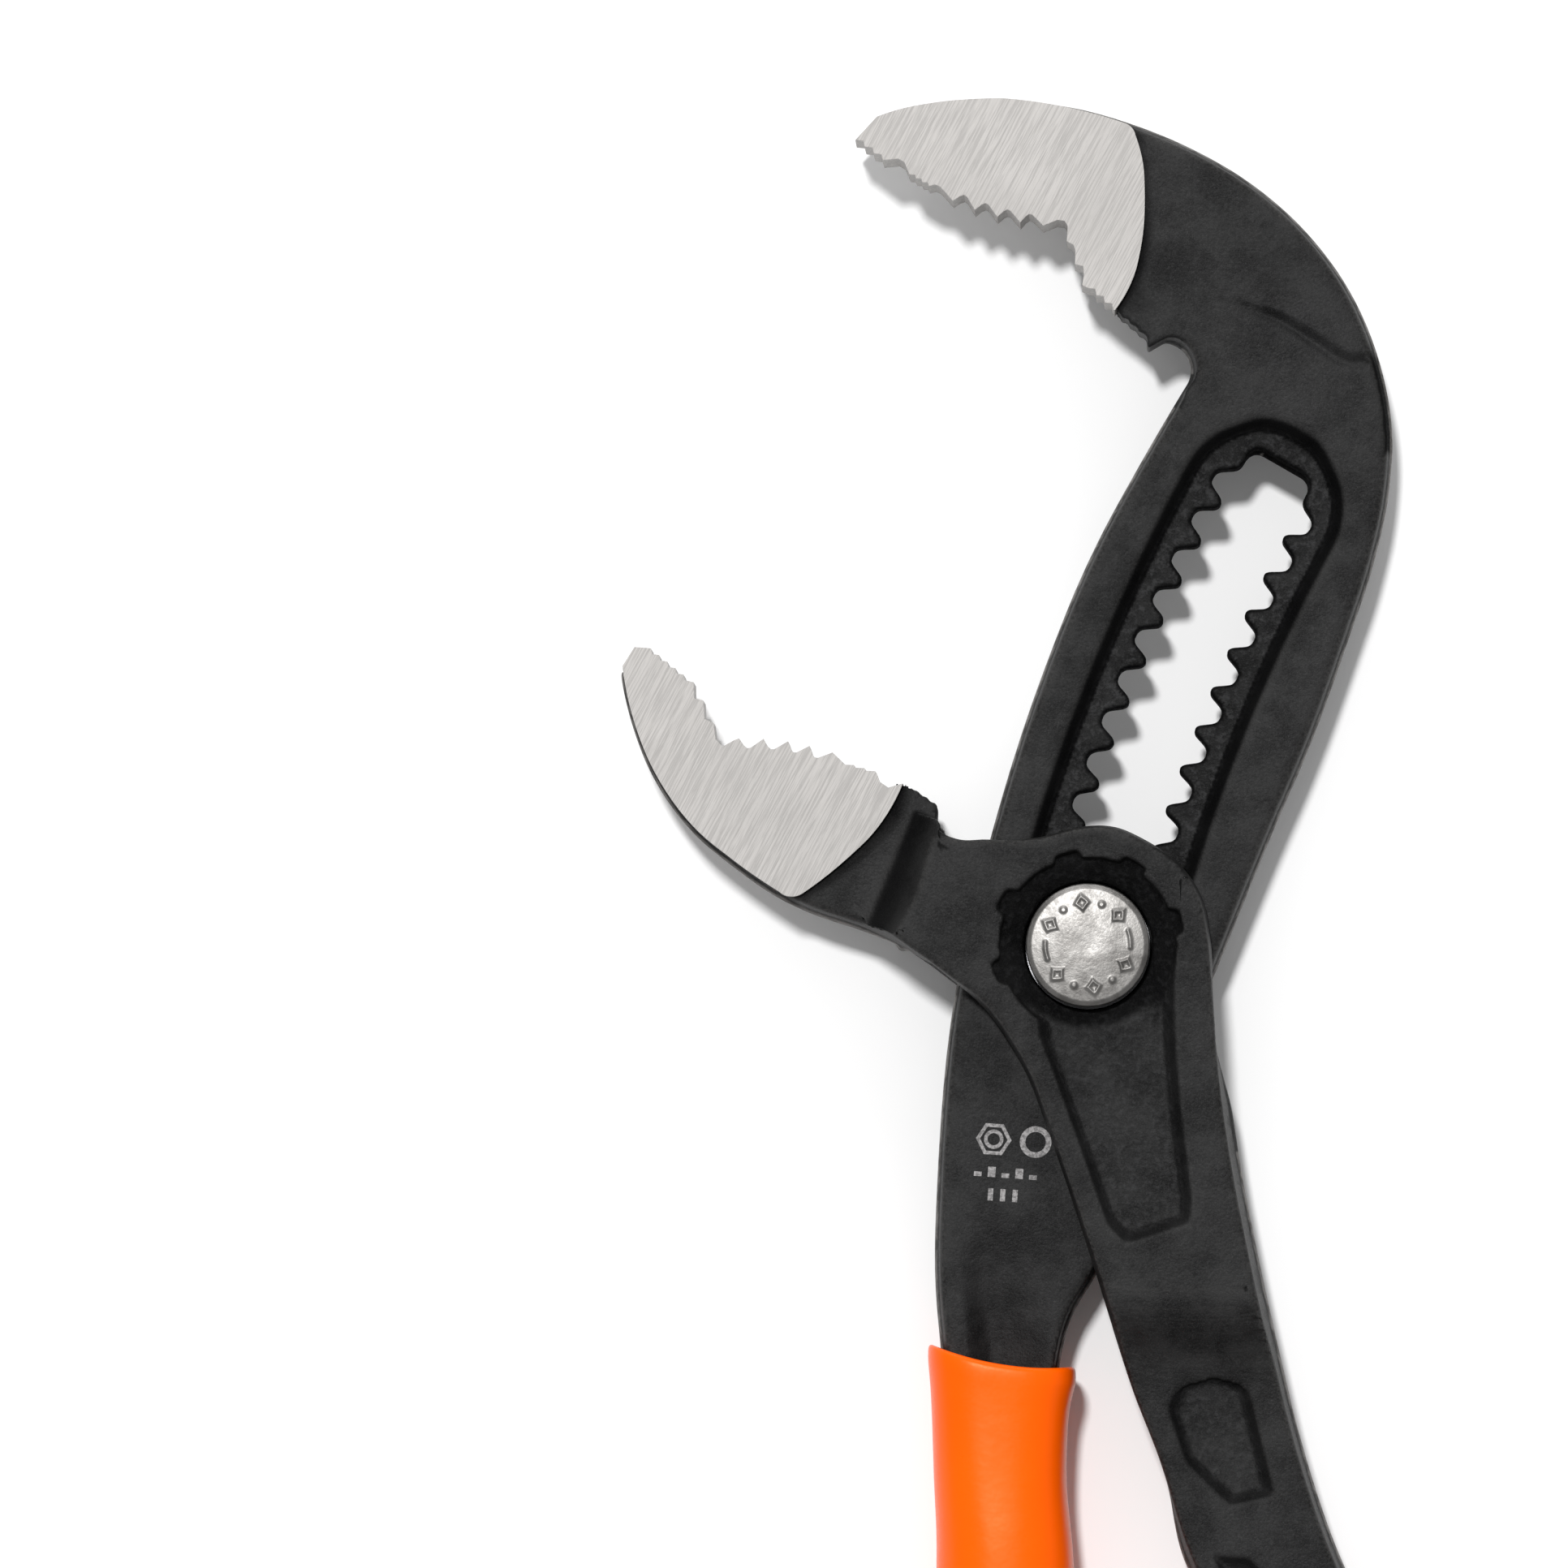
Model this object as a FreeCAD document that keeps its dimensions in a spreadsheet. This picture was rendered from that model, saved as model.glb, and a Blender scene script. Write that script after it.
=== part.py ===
import FreeCAD, Part
import math
import os

import Sketcher
from FreeCAD import Placement, Rotation, Vector

# Tongue and groove pliers with a push-button lock pin, ten-inch class.
#
# Frame: the pliers lie on their back. The origin is on the pivot axis at the back face of the
# joint, +Y points up the slot towards the jaws, +X points away from the jaws and +Z comes out
# of the button face. All sizes are in millimetres and degrees.

os.makedirs("parts", exist_ok=True)
doc = FreeCAD.newDocument("TongueAndGroovePliers")

# ---------------------------------------------------------------- driving dimensions

SIZES = {
    "joint_thickness": 16.4,
    "mid_plane": 8.2,
    "arm_thickness": 6.8,
    "web_thickness": 4.2,
    "jaw_thickness": 8.4,
    "window_height": 7.1,
    "handle_thickness": 10.8,
    "lower_jaw_thickness": 7.0,
    "ramp_taper": 33.0,
    "ramp_depth": 4.75,
    "joggle_start": -33.5,
    "joggle_end": -43.5,
    "beyond": 600.0,
    "arc_centre_x": 178.5,
    "arc_centre_y": -44.9,
    "arc_mid_radius": 184.05,
    "tooth_pitch_angle": 1.3125,
    "detents_below": 1,
    "detents_above": 11,
    "tooth_lead": 0.6,
    "slot_half_width": 3.4,
    "slot_corner": 1.2,
    "end_reach": 4.65,
    "channel_half_width": 7.1,
    "channel_reach": 6.9,
    "channel_corner": 6.6,
    "channel_taper": 38.0,
    "pin_radius": 5.4,
    "pin_bore_radius": 5.5,
    "shank_radius": 3.2,
    "spigot_radius": 2.6,
    "pin_chamfer": 0.4,
    "tooth_bottom": 6.0,
    "tooth_top": 9.1,
    "tooth_play": 0.14,
    "tongue_half_width": 4.3,
    "tongue_half_length": 3.26,
    "tongue_corner": 1.0,
    "shank_top": 14.2,
    "spigot_top": 16.6,
    "button_radius": 6.0,
    "button_bore_radius": 6.3,
    "button_bottom": 13.9,
    "button_hollow_radius": 5.2,
    "button_hollow_top": 16.4,
    "button_boss_radius": 3.8,
    "button_chamfer": 0.6,
    "button_edge": 17.2,
    "button_crown": 17.6,
    "spring_radius": 4.5,
    "spring_wire": 0.8,
    "spring_turns": 3,
    "washer_radius": 6.1,
    "washer_bore": 3.35,
    "washer_bottom": 10.35,
    "washer_thickness": 0.4,
    "ring_radius": 6.9,
    "ring_groove_radius": 4.8,
    "ring_bottom": 0.5,
    "ring_thickness": 1.0,
    "ring_gap_angle": 50.0,
    "counterbore_radius": 7.2,
    "counterbore_depth": 1.52,
    "gear_recess_radius": 8.6,
    "gear_notch_radius": 9.6,
    "gear_notch_half_angle": 8.8,
    "gear_notch_lean": 2.4,
    "recess_depth": 1.1,
    "dish_radius": 8.0,
    "dish_depth": 0.8,
    "dish_taper": 60.0,
    "recess_taper": 47.0,
    "grip_thickness": 14.0,
}

sheet = doc.addObject("Spreadsheet::Sheet", "sizes")
for row, (alias, number) in enumerate(SIZES.items(), start=1):
    sheet.set(f"A{row}", alias.replace("_", " "))
    sheet.set(f"B{row}", str(number))
    sheet.setAlias(f"B{row}", alias)
doc.recompute()


def size(alias):
    return float(sheet.get(alias))


ARC_CENTRE = (size("arc_centre_x"), size("arc_centre_y"))
PIVOT_ANGLE = math.degrees(math.atan2(-ARC_CENTRE[1], -ARC_CENTRE[0]))
PITCH = size("tooth_pitch_angle")

# ---------------------------------------------------------------- outline helpers


def polar(radius, angle, centre=(0.0, 0.0)):
    """The point at a radius and an angle in degrees from a centre."""
    turn = math.radians(angle)
    return (centre[0] + radius * math.cos(turn), centre[1] + radius * math.sin(turn))


def vector(point):
    return Vector(point[0], point[1], 0)


def line(start, end):
    return Part.LineSegment(vector(start), vector(end))


def arc(start, via, end):
    return Part.Arc(vector(start), vector(via), vector(end))


def leaning_arc(start, heading, end):
    """The arc that leaves start along a heading and reaches end, or a straight line."""
    chord = end - start
    lean = math.atan2(chord.cross(heading).z, chord.dot(heading))
    if abs(lean) < 1e-4:
        return Part.LineSegment(start, end)
    left = Vector(-chord.y, chord.x, 0)
    return Part.Arc(start, (start + end) / 2 + left * (math.tan(lean / 2) / 2), end)


def headings(points):
    """At each point, the direction of the circle through it and its neighbours."""
    found = []
    for i, here in enumerate(points):
        near = min(max(i, 1), len(points) - 2)
        a, b, c = points[near - 1:near + 2]
        first = (b - a) / (b - a).Length
        second = (c - b) / (c - b).Length
        middle = first * (c - b).Length + second * (b - a).Length
        middle.normalize()
        if i == near:
            found.append(middle)
        elif i < near:
            found.append(first * (2 * first.dot(middle)) - middle)
        else:
            found.append(second * (2 * second.dot(middle)) - middle)
    return found


def smooth(*points):
    """Arcs that flow into each other through points: two arcs between each point and the next."""
    points = [vector(p) for p in points]
    ways = headings(points)
    edges = []
    for start, end, out, into in zip(points, points[1:], ways, ways[1:]):
        chord = end - start
        both = out + into
        bend = 2 * (1 - out.dot(into))
        if bend > 1e-9:
            reach = (math.sqrt(chord.dot(both) ** 2 + bend * chord.dot(chord)) - chord.dot(both)) / bend
        else:
            reach = chord.dot(chord) / (2 * chord.dot(both))
        meet = (start + end + (out - into) * reach) / 2
        half = (meet - start).normalize()
        edges.append(leaning_arc(start, out, meet))
        edges.append(leaning_arc(meet, half * (2 * half.dot(out)) - out, end))
    return edges


def chain(*points):
    """Straight edges from point to point."""
    return [line(a, b) for a, b in zip(points, points[1:]) if math.dist(a, b) > 1e-6]


def loop(*points):
    """A closed outline of straight edges."""
    return chain(*points, points[0])


def rounded(radius, *corners):
    """A closed outline of straight edges whose corners are arcs of one radius."""
    edges = []
    ends = []
    count = len(corners)
    for i, corner in enumerate(corners):
        before = Vector(*corners[i - 1], 0)
        here = Vector(*corner, 0)
        after = Vector(*corners[(i + 1) % count], 0)
        back = (before - here).normalize()
        ahead = (after - here).normalize()
        half = back.getAngle(ahead) / 2
        reach = radius / math.tan(half)
        middle = (back + ahead).normalize()
        centre = here + middle * (radius / math.sin(half))
        start = here + back * reach
        end = here + ahead * reach
        ends.append((start, end))
        edges.append(Part.Arc(start, centre - middle * radius, end))
    for i, (start, _) in enumerate(ends):
        edges.append(Part.LineSegment(ends[i - 1][1], start))
    return edges


def stairs(start, end, count):
    """Corners of fine saw teeth: treads across and short risers, from start to end."""
    corners = []
    step_x = (end[0] - start[0]) / count
    step_y = (end[1] - start[1]) / count
    for i in range(count):
        x = start[0] + i * step_x
        y = start[1] + i * step_y
        corners.append((x + 0.82 * step_x, y + 0.12 * step_y))
        corners.append((x + step_x, y + step_y))
    return corners


def arches(tips, depth, side):
    """Corners of coarse teeth: an arched gap between each tip and the next."""
    corners = [tips[0]]
    for (x, y), (next_x, next_y) in zip(tips, tips[1:]):
        along_x = next_x - x
        along_y = next_y - y
        length = math.hypot(along_x, along_y)
        across_x = -along_y / length * side * depth
        across_y = along_x / length * side * depth
        for share, lift in ((0.2, 0.72), (0.34, 1.0), (0.48, 0.95)):
            corners.append((x + share * along_x + lift * across_x,
                            y + share * along_y + lift * across_y))
        corners.append((next_x, next_y))
    return corners


# ---------------------------------------------------------------- document helpers


def plane(body, role):
    return next(f for f in body.Origin.OriginFeatures if f.Role == role)


def new_body(name):
    body = doc.addObject("PartDesign::Body", name)
    body.Label = name
    return body


def sketch_on(body, name, edges, level="mid_plane", role="XY_Plane", turn=0.0, origin=(0.0, 0.0)):
    """A sketch on one of the body's own planes, lifted to a level of the sheet."""
    sketch = body.newObject("Sketcher::SketchObject", name)
    sketch.AttachmentSupport = [(plane(body, role), "")]
    sketch.MapMode = "FlatFace"
    base = Vector(origin[0], origin[1], 0)
    sketch.AttachmentOffset = Placement(base, Rotation(Vector(0, 0, 1), turn))
    if level:
        sketch.setExpression("AttachmentOffset.Base.z", f"sizes.{level}")
    sketch.addGeometry(edges, False)
    return sketch


def circle_sketch(body, name, radius, level, centre=(0.0, 0.0)):
    """A sketch of one circle whose radius is bound to the sheet."""
    sketch = sketch_on(body, name, [], level)
    sketch.addGeometry(Part.Circle(vector(centre), Vector(0, 0, 1), size(radius)), False)
    sketch.addConstraint(Sketcher.Constraint("Radius", 0, size(radius)))
    sketch.setExpression("Constraints[0]", f"sizes.{radius}")
    return sketch


def pad(body, name, sketch, length, symmetric=True):
    """A pad whose volume is compared, so one that doesn't join the body can't pass unseen."""
    before = 0.0 if body.Shape.isNull() else body.Shape.Volume
    feature = body.newObject("PartDesign::Pad", name)
    feature.Profile = sketch
    feature.SideType = "Symmetric" if symmetric else "One side"
    feature.setExpression("Length", length)
    doc.recompute()
    if body.Shape.Volume < before + 0.01:
        raise RuntimeError(f"{name} adds nothing")
    return feature


def pocket(body, name, sketch, length, symmetric=False, backwards=False, taper=None):
    """A cut whose volume is compared, so a cut into empty space can't pass unseen."""
    before = body.Shape.Volume
    feature = body.newObject("PartDesign::Pocket", name)
    feature.Profile = sketch
    feature.SideType = "Symmetric" if symmetric else "One side"
    feature.Reversed = backwards
    if length:
        feature.setExpression("Length", length)
    else:
        feature.Type = "ThroughAll"
    if taper:
        feature.TaperAngle = taper
    doc.recompute()
    if body.Shape.Volume > before - 0.01:
        raise RuntimeError(f"{name} cuts nothing")
    return feature


MID = size("mid_plane")

# ---------------------------------------------------------------- slotted arm

HOOK = [
    line((5.0, 58.2), (7.6, 59.4)),
    arc((7.6, 59.4), (9.7, 58.2), (9.6, 55.0)),
]
ARM_OUTER = smooth(
    (9.6, 55.0), (4.9, 47.0), (0.95, 39.7), (-4.95, 25.4), (-9.5, 10.9), (-12.95, -4.1), (-14.8, -23.4),
    (-15.0, -31.8), (-14.3, -41.0), (-13.4, -52.0), (-13.5, -70.0), (-14.8, -92.0), (-18.2, -118.0),
    (-22.5, -142.0), (-25.3, -160.0), (-21.6, -167.5), (-15.9, -161.5), (-13.0, -140.0), (-8.6, -115.0),
    (-5.2, -92.0), (-3.9, -70.0), (-3.7, -52.0), (-3.0, -42.0), (-1.7, -36.4), (1.0, -31.6), (6.2, -18.0),
    (12.9, -1.5), (17.6, 10.0), (22.2, 20.8), (25.6, 30.2), (28.0, 37.4), (29.6, 44.8), (29.9, 50.5),
    (28.7, 57.4), (25.8, 64.4), (21.4, 70.4), (16.2, 75.0), (9.7, 78.8), (5.0, 80.75), (-1.5, 82.6),
    (-6.5, 83.2), (-10.5, 83.15), (-14.8, 82.8), (-19.0, 81.95), (-20.6, 81.4),
)
UPPER_JAW_FRONT = chain((-20.6, 81.4), (-22.9, 78.9), (-22.0, 77.0), (-17.0, 73.5), (-4.0, 69.3),
                        (-3.0, 66.0), (5.0, 58.2))

UPPER_TEETH = (
    [(-24.0, 79.1), (-22.65, 79.1)]
    + stairs((-22.65, 79.1), (-20.0, 77.1), 3)
    + [(-18.5, 77.25), (-17.9, 76.9), (-17.4, 75.7)]
    + stairs((-17.4, 75.7), (-15.5, 74.55), 3)
    + [(-14.9, 74.7), (-14.4, 74.5)]
    + arches([(-13.15, 73.1), (-11.0, 72.2), (-8.8, 71.5), (-6.55, 70.95), (-4.3, 70.65)], 0.95, 1)
    + [(-2.9, 71.2), (-2.2, 71.1), (-1.9, 70.6), (-2.0, 69.1)]
    + [(-1.35, 68.75), (-1.15, 68.2), (-1.2, 66.85)]
    + [(-0.4, 66.65), (-0.3, 65.8), (-0.5, 64.8), (0.1, 64.5)]
    + stairs((0.1, 64.5), (5.85, 59.5), 7)
    + [(5.85, 56.0), (-6.0, 60.0), (-26.0, 73.0)]
)
UPPER_PAD = (
    smooth((2.6, 62.2), (4.3, 65.0), (5.35, 69.0), (5.65, 73.5), (5.4, 77.2), (4.75, 79.5))
    + [arc((4.75, 79.5), (4.35, 80.3), (3.6, 80.75))]
    + smooth((3.6, 80.75), (-1.8, 82.25), (-5.5, 82.9), (-8.5, 83.2))
    + smooth((-8.5, 83.2), (-10.5, 83.15), (-14.8, 82.8), (-19.0, 81.95), (-20.6, 81.4))
    + chain((-20.6, 81.4), (-22.9, 78.9), (-22.0, 77.0), (-17.0, 73.5), (-4.0, 69.3), (-3.0, 66.0),
            (0.6, 60.9), (2.6, 62.2))
)

def slot_band(half_width, reach, corner):
    """The slot between its end detents: two arcs about the slot's centre and two rounded ends."""
    inner = size("arc_mid_radius") - half_width
    outer = size("arc_mid_radius") + half_width
    mid = size("arc_mid_radius")
    lead = math.degrees(reach / mid)
    turn = math.degrees(corner / mid)
    low = PIVOT_ANGLE + PITCH * size("detents_below") + lead
    high = PIVOT_ANGLE - PITCH * size("detents_above") - lead
    bend = 1 - math.sqrt(0.5)

    def at(radius, angle):
        return polar(radius, angle, ARC_CENTRE)

    return [
        arc(at(inner, low - turn), at(inner, (low + high) / 2), at(inner, high + turn)),
        arc(at(inner, high + turn), at(inner + bend * corner, high + bend * turn), at(inner + corner, high)),
        line(at(inner + corner, high), at(outer - corner, high)),
        arc(at(outer - corner, high), at(outer - bend * corner, high + bend * turn), at(outer, high + turn)),
        arc(at(outer, high + turn), at(outer, (low + high) / 2), at(outer, low - turn)),
        arc(at(outer, low - turn), at(outer - bend * corner, low - bend * turn), at(outer - corner, low)),
        line(at(outer - corner, low), at(inner + corner, low)),
        arc(at(inner + corner, low), at(inner + bend * corner, low - bend * turn), at(inner, low - turn)),
    ]


def tooth_flank(play, side, end, lead):
    """Half of one gap side, from its floor to its mouth: a rounded floor, a flank and a rounded tip."""
    floor_arc = ((5.37 - play, 0.45), (5.2 - play, 0.72 - play), (4.85 - play / 2, 0.98 - play))
    tip_arc = ((3.95 - play / 2, 1.45 - play), (3.6 - play, 1.68 - play), (3.43 - play, 2.05 - play / 2))

    def at(point):
        return (side * point[0], lead + end * point[1])

    return [
        arc(*(at(p) for p in floor_arc)),
        line(at(floor_arc[2]), at(tip_arc[0])),
        arc(*(at(p) for p in tip_arc)),
    ], at(floor_arc[0]), at(tip_arc[2])


def tooth_gap(play=0.0, lead=0.0, place=(0.0, 0.0), lean=0.0):
    """One detent of the slot, a gap on each side of it, with its way across the slot."""
    edges = []
    floors = {}
    mouths = {}
    for side in (1, -1):
        for end in (1, -1):
            half, floors[side, end], mouths[side, end] = tooth_flank(play, side, end, lead)
            edges += half
    edges += [line(floors[side, 1], floors[side, -1]) for side in (1, -1)]
    edges += [line(mouths[1, end], mouths[-1, end]) for end in (1, -1)]
    for edge in edges:
        edge.rotate(Placement(Vector(), Rotation(Vector(0, 0, 1), lean)))
        edge.translate(vector(place))
    return edges


def centred_channel(body, name, edges, thickness, level, taper):
    """The same recess in the front and in the back, down to a web of one thickness."""
    for side, sign in (("Front", "+"), ("Back", "-")):
        sketch = sketch_on(body, f"{side}{name}Outline", edges)
        sketch.setExpression("AttachmentOffset.Base.z", f"sizes.mid_plane {sign} sizes.{thickness} / 2")
        pocket(body, f"{side}{name}", sketch, f"sizes.{level}", backwards=side == "Front", taper=taper)


def slot_frame(detent):
    """Where the pin sits at a detent, and how far its own up direction leans from +Y."""
    angle = PIVOT_ANGLE - PITCH * detent
    return polar(math.hypot(*ARC_CENTRE), angle, ARC_CENTRE), angle - 180.0


def build_slotted_arm():
    body = new_body("slotted_arm")
    outline = HOOK + ARM_OUTER + UPPER_JAW_FRONT
    pad(body, "ArmForging", sketch_on(body, "ArmOutline", outline), "sizes.arm_thickness")
    pad(body, "UpperJawFace", sketch_on(body, "GroundFace", UPPER_PAD), "sizes.jaw_thickness")
    teeth = sketch_on(body, "UpperTeethOutline", loop(*UPPER_TEETH))
    pocket(body, "UpperTeeth", teeth, "sizes.jaw_thickness * 2", symmetric=True)
    channel = slot_band(size("channel_half_width"), size("channel_reach"), size("channel_corner"))
    centred_channel(body, "Channel", channel, "web_thickness", "arm_thickness", size("channel_taper"))
    slot = slot_band(size("slot_half_width"), size("end_reach"), size("slot_corner"))
    pocket(body, "Slot", sketch_on(body, "SlotOutline", slot), "sizes.jaw_thickness", symmetric=True)
    lowest = -int(size("detents_below"))
    highest = int(size("detents_above"))
    gaps = []
    for detent in range(lowest, highest + 1):
        place, lean = slot_frame(detent)
        gaps += tooth_gap(0.0, size("tooth_lead"), place, lean)
    pocket(body, "Detents", sketch_on(body, "DetentOutlines", gaps), "sizes.jaw_thickness", symmetric=True)
    return body


# ---------------------------------------------------------------- button arm

CHEEK = (
    smooth((-14.9, 12.4), (-14.2, 11.2), (-12.9, 10.45), (-9.5, 10.5), (-5.0, 11.3), (-0.3, 12.45),
           (2.6, 12.4), (5.8, 11.1), (10.2, 7.7), (11.9, 4.8), (12.6, 1.3), (13.1, -4.5), (13.5, -10.5),
           (14.8, -20.5),
           (16.6, -30.0), (18.5, -38.7), (20.6, -47.5), (23.4, -56.5), (26.6, -64.5), (30.0, -76.0),
           (34.3, -91.0), (40.0, -115.0), (44.2, -142.0), (45.6, -168.0), (45.2, -184.0), (40.2, -189.5),
           (35.3, -184.5), (35.7, -167.0), (34.3, -142.0), (30.2, -117.0), (24.7, -94.0), (19.6, -79.5),
           (13.6, -69.0), (8.6, -58.0), (6.0, -50.2), (3.1, -41.8), (0.3, -32.8), (-2.6, -23.9),
           (-4.7, -17.8), (-6.9, -12.2), (-9.4, -8.1), (-12.6, -4.2), (-15.5, -1.5), (-18.7, 0.3),
           (-21.4, 1.4), (-24.5, 2.45))
    + chain((-24.5, 2.45), (-18.6, 13.9), (-14.9, 12.4))
)
LOWER_JAW = (
    smooth((-45.84, 27.0), (-44.7, 21.9), (-42.6, 16.7), (-38.9, 11.5), (-34.7, 7.9), (-29.6, 4.5),
           (-24.5, 2.45))
    + chain((-24.5, 2.45), (-14.2, 4.0), (-14.0, 11.4), (-14.9, 12.4), (-14.0, 15.4), (-18.0, 18.5),
            (-25.5, 21.5), (-36.0, 23.5), (-40.0, 29.5), (-44.3, 30.5), (-44.3, 29.44), (-45.84, 27.0))
)
LOWER_PAD = (
    smooth((-45.53, 27.49), (-44.4, 22.1), (-42.35, 17.05), (-38.7, 11.9), (-34.5, 8.35), (-30.2, 5.4))
    + [arc((-30.2, 5.4), (-29.0, 4.9), (-27.9, 5.2))]
    + smooth((-27.9, 5.2), (-24.0, 8.2), (-20.5, 11.7), (-18.05, 16.0))
    + chain((-18.05, 16.0), (-18.0, 18.5), (-25.5, 21.5), (-36.0, 23.5), (-40.0, 29.5), (-44.3, 30.5),
            (-44.3, 29.44), (-45.53, 27.49))
)
LOWER_TEETH = (
    [(-46.0, 29.44), (-43.4, 29.3)]
    + stairs((-43.4, 29.3), (-39.4, 26.1), 5)
    + [(-38.55, 25.9), (-38.5, 24.3), (-37.6, 24.1), (-37.5, 22.3), (-36.6, 21.9), (-36.4, 20.3)]
    + [(-35.7, 19.6), (-34.6, 20.2)]
    + arches([(-34.1, 20.4), (-31.7, 20.35), (-29.3, 20.1), (-27.2, 19.65), (-24.95, 19.0)], 0.95, -1)
    + [(-23.7, 17.8)]
    + stairs((-23.7, 17.8), (-20.6, 16.9), 3)
    + [(-20.3, 16.1), (-19.5, 15.55), (-18.1, 15.95)]
    + stairs((-18.1, 15.95), (-14.75, 13.6), 4)
    + [(-14.9, 12.4), (-13.0, 12.4), (-12.0, 22.0), (-30.0, 30.0), (-46.0, 34.0)]
)
WINDOW = (
    [(-11.5, 16.0), (-11.5, 9.5), (-12.1, 5.5), (-13.0, 2.5), (-14.6, -0.7), (-17.0, -3.6), (-24.0, -14.0)]
    + [(-6.0, -54.0), (6.1, -51.5), (6.9, -47.5), (7.7, -41.5), (8.6, -34.5), (9.9, -27.0), (11.5, -19.0)]
    + [(12.8, -11.5), (13.7, -7.6), (24.0, -4.0), (30.0, 24.0)]
)
RAMP_SIDE = ((-12.2, 18.0), (-21.6, -4.3), (-31.0, -4.3), (-31.0, 18.0))
FRONT_RECESS = ((-4.8, -6.3), (-4.8, -9.1), (-3.5, -12.9), (1.7, -27.3), (3.7, -29.1), (9.9, -27.1),
                (10.1, -24.7), (9.0, -15.5), (8.45, -8.2), (8.4, -1.0))
HANDLE_RECESS = ((12.3, -41.5), (15.5, -42.4), (18.2, -53.6), (13.8, -54.6), (9.2, -50.2), (7.6, -45.2),
                 (8.9, -42.4))
GEAR_NOTCHES = (14.8, 60.3, 102.9, 151.5, 197.0)
TANG_RECESS = ((11.6, -59.4), (15.6, -59.6), (20.6, -64.5), (23.0, -71.0), (19.4, -72.2), (15.2, -66.5))


def gear_recess():
    """The recess round the button: a circle with square notches on the side away from the handle."""
    inner = size("gear_recess_radius")
    outer = size("gear_notch_radius")
    half = size("gear_notch_half_angle")
    lean = size("gear_notch_lean")
    edges = []
    for i, middle in enumerate(GEAR_NOTCHES):
        low = middle - half
        high = middle + half
        edges.append(line(polar(inner, low), polar(outer, low + lean)))
        edges.append(arc(polar(outer, low + lean), polar(outer, middle), polar(outer, high - lean)))
        edges.append(line(polar(outer, high - lean), polar(inner, high)))
        following = GEAR_NOTCHES[(i + 1) % len(GEAR_NOTCHES)] - half
        after = following if following > high else following + 360
        edges.append(arc(polar(inner, high), polar(inner, (high + after) / 2), polar(inner, after)))
    return edges


def joggle(body, name, sign):
    """The step from the thick joint down to the handle: two arcs, seen from the side."""
    start = size("joggle_start")
    end = size("joggle_end")
    face = MID + sign * size("joint_thickness") / 2
    level = MID + sign * size("handle_thickness") / 2
    past = MID + sign * size("joint_thickness")
    beyond = -size("beyond") / 2
    middle = Vector((start + end) / 2, (face + level) / 2, 0)
    edges = [
        leaning_arc(vector((start, face)), Vector(-1, 0, 0), middle),
        leaning_arc(vector((end, level)), Vector(1, 0, 0), middle),
    ]
    edges += chain((end, level), (beyond, level), (beyond, past), (start, past), (start, face))
    profile = sketch_on(body, f"{name}Profile", edges, level=None, role="YZ_Plane")
    pocket(body, name, profile, "sizes.beyond", symmetric=True)


def both_faces(body, name, edges, height, depth, taper):
    """The same recess sunk from two faces that lie at equal heights either side of the middle.

    A pocket's taper widens it along the cut, so walls that close in on the floor take it negative.
    """
    for side, sign in (("Front", "+"), ("Back", "-")):
        sketch = sketch_on(body, f"{side}{name}Outline", edges)
        sketch.setExpression("AttachmentOffset.Base.z", f"sizes.mid_plane {sign} {height} / 2")
        pocket(body, f"{side}{name}", sketch, depth, backwards=side == "Back", taper=-taper)


def build_button_arm():
    body = new_body("button_arm")
    pad(body, "JointForging", sketch_on(body, "CheekOutline", CHEEK), "sizes.joint_thickness")
    joggle(body, "FrontJoggle", 1)
    joggle(body, "BackJoggle", -1)
    both_faces(body, "Ramp", loop(*RAMP_SIDE), "sizes.joint_thickness", "sizes.ramp_depth", size("ramp_taper"))
    pad(body, "LowerJaw", sketch_on(body, "LowerJawOutline", LOWER_JAW), "sizes.lower_jaw_thickness")
    pad(body, "LowerJawFace", sketch_on(body, "LowerGroundFace", LOWER_PAD), "sizes.jaw_thickness")
    teeth = sketch_on(body, "LowerTeethOutline", loop(*LOWER_TEETH))
    pocket(body, "LowerTeeth", teeth, "sizes.jaw_thickness * 2", symmetric=True)
    window = sketch_on(body, "WindowOutline", loop(*WINDOW))
    pocket(body, "Window", window, "sizes.window_height", symmetric=True)
    pocket(body, "PinBore", circle_sketch(body, "PinBoreCircle", "pin_bore_radius", "mid_plane"),
           "sizes.mid_plane + 1")
    ring_seat = circle_sketch(body, "RingSeatCircle", "counterbore_radius", None)
    pocket(body, "RingSeat", ring_seat, "sizes.counterbore_depth", backwards=True)
    button_bore = circle_sketch(body, "ButtonBoreCircle", "button_bore_radius", "joint_thickness")
    pocket(body, "ButtonBore", button_bore, "sizes.mid_plane")
    gear = sketch_on(body, "GearRecessOutline", gear_recess(), "joint_thickness")
    pocket(body, "GearRecess", gear, "sizes.recess_depth")
    dish = circle_sketch(body, "DishCircle", "dish_radius", "joint_thickness")
    dish.setExpression("AttachmentOffset.Base.z", "sizes.joint_thickness - sizes.recess_depth")
    pocket(body, "ButtonDish", dish, "sizes.dish_depth", taper=-size("dish_taper"))
    for name, corners, thickness in (("JointRecess", FRONT_RECESS, "sizes.joint_thickness"),
                                     ("HandleRecess", HANDLE_RECESS, "sizes.handle_thickness"),
                                     ("TangRecess", TANG_RECESS, "sizes.handle_thickness")):
        both_faces(body, name, loop(*corners), thickness, "sizes.recess_depth", size("recess_taper"))
    return body


# ---------------------------------------------------------------- lock pin and its spring

SPRING_ARCS_PER_TURN = 12


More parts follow.
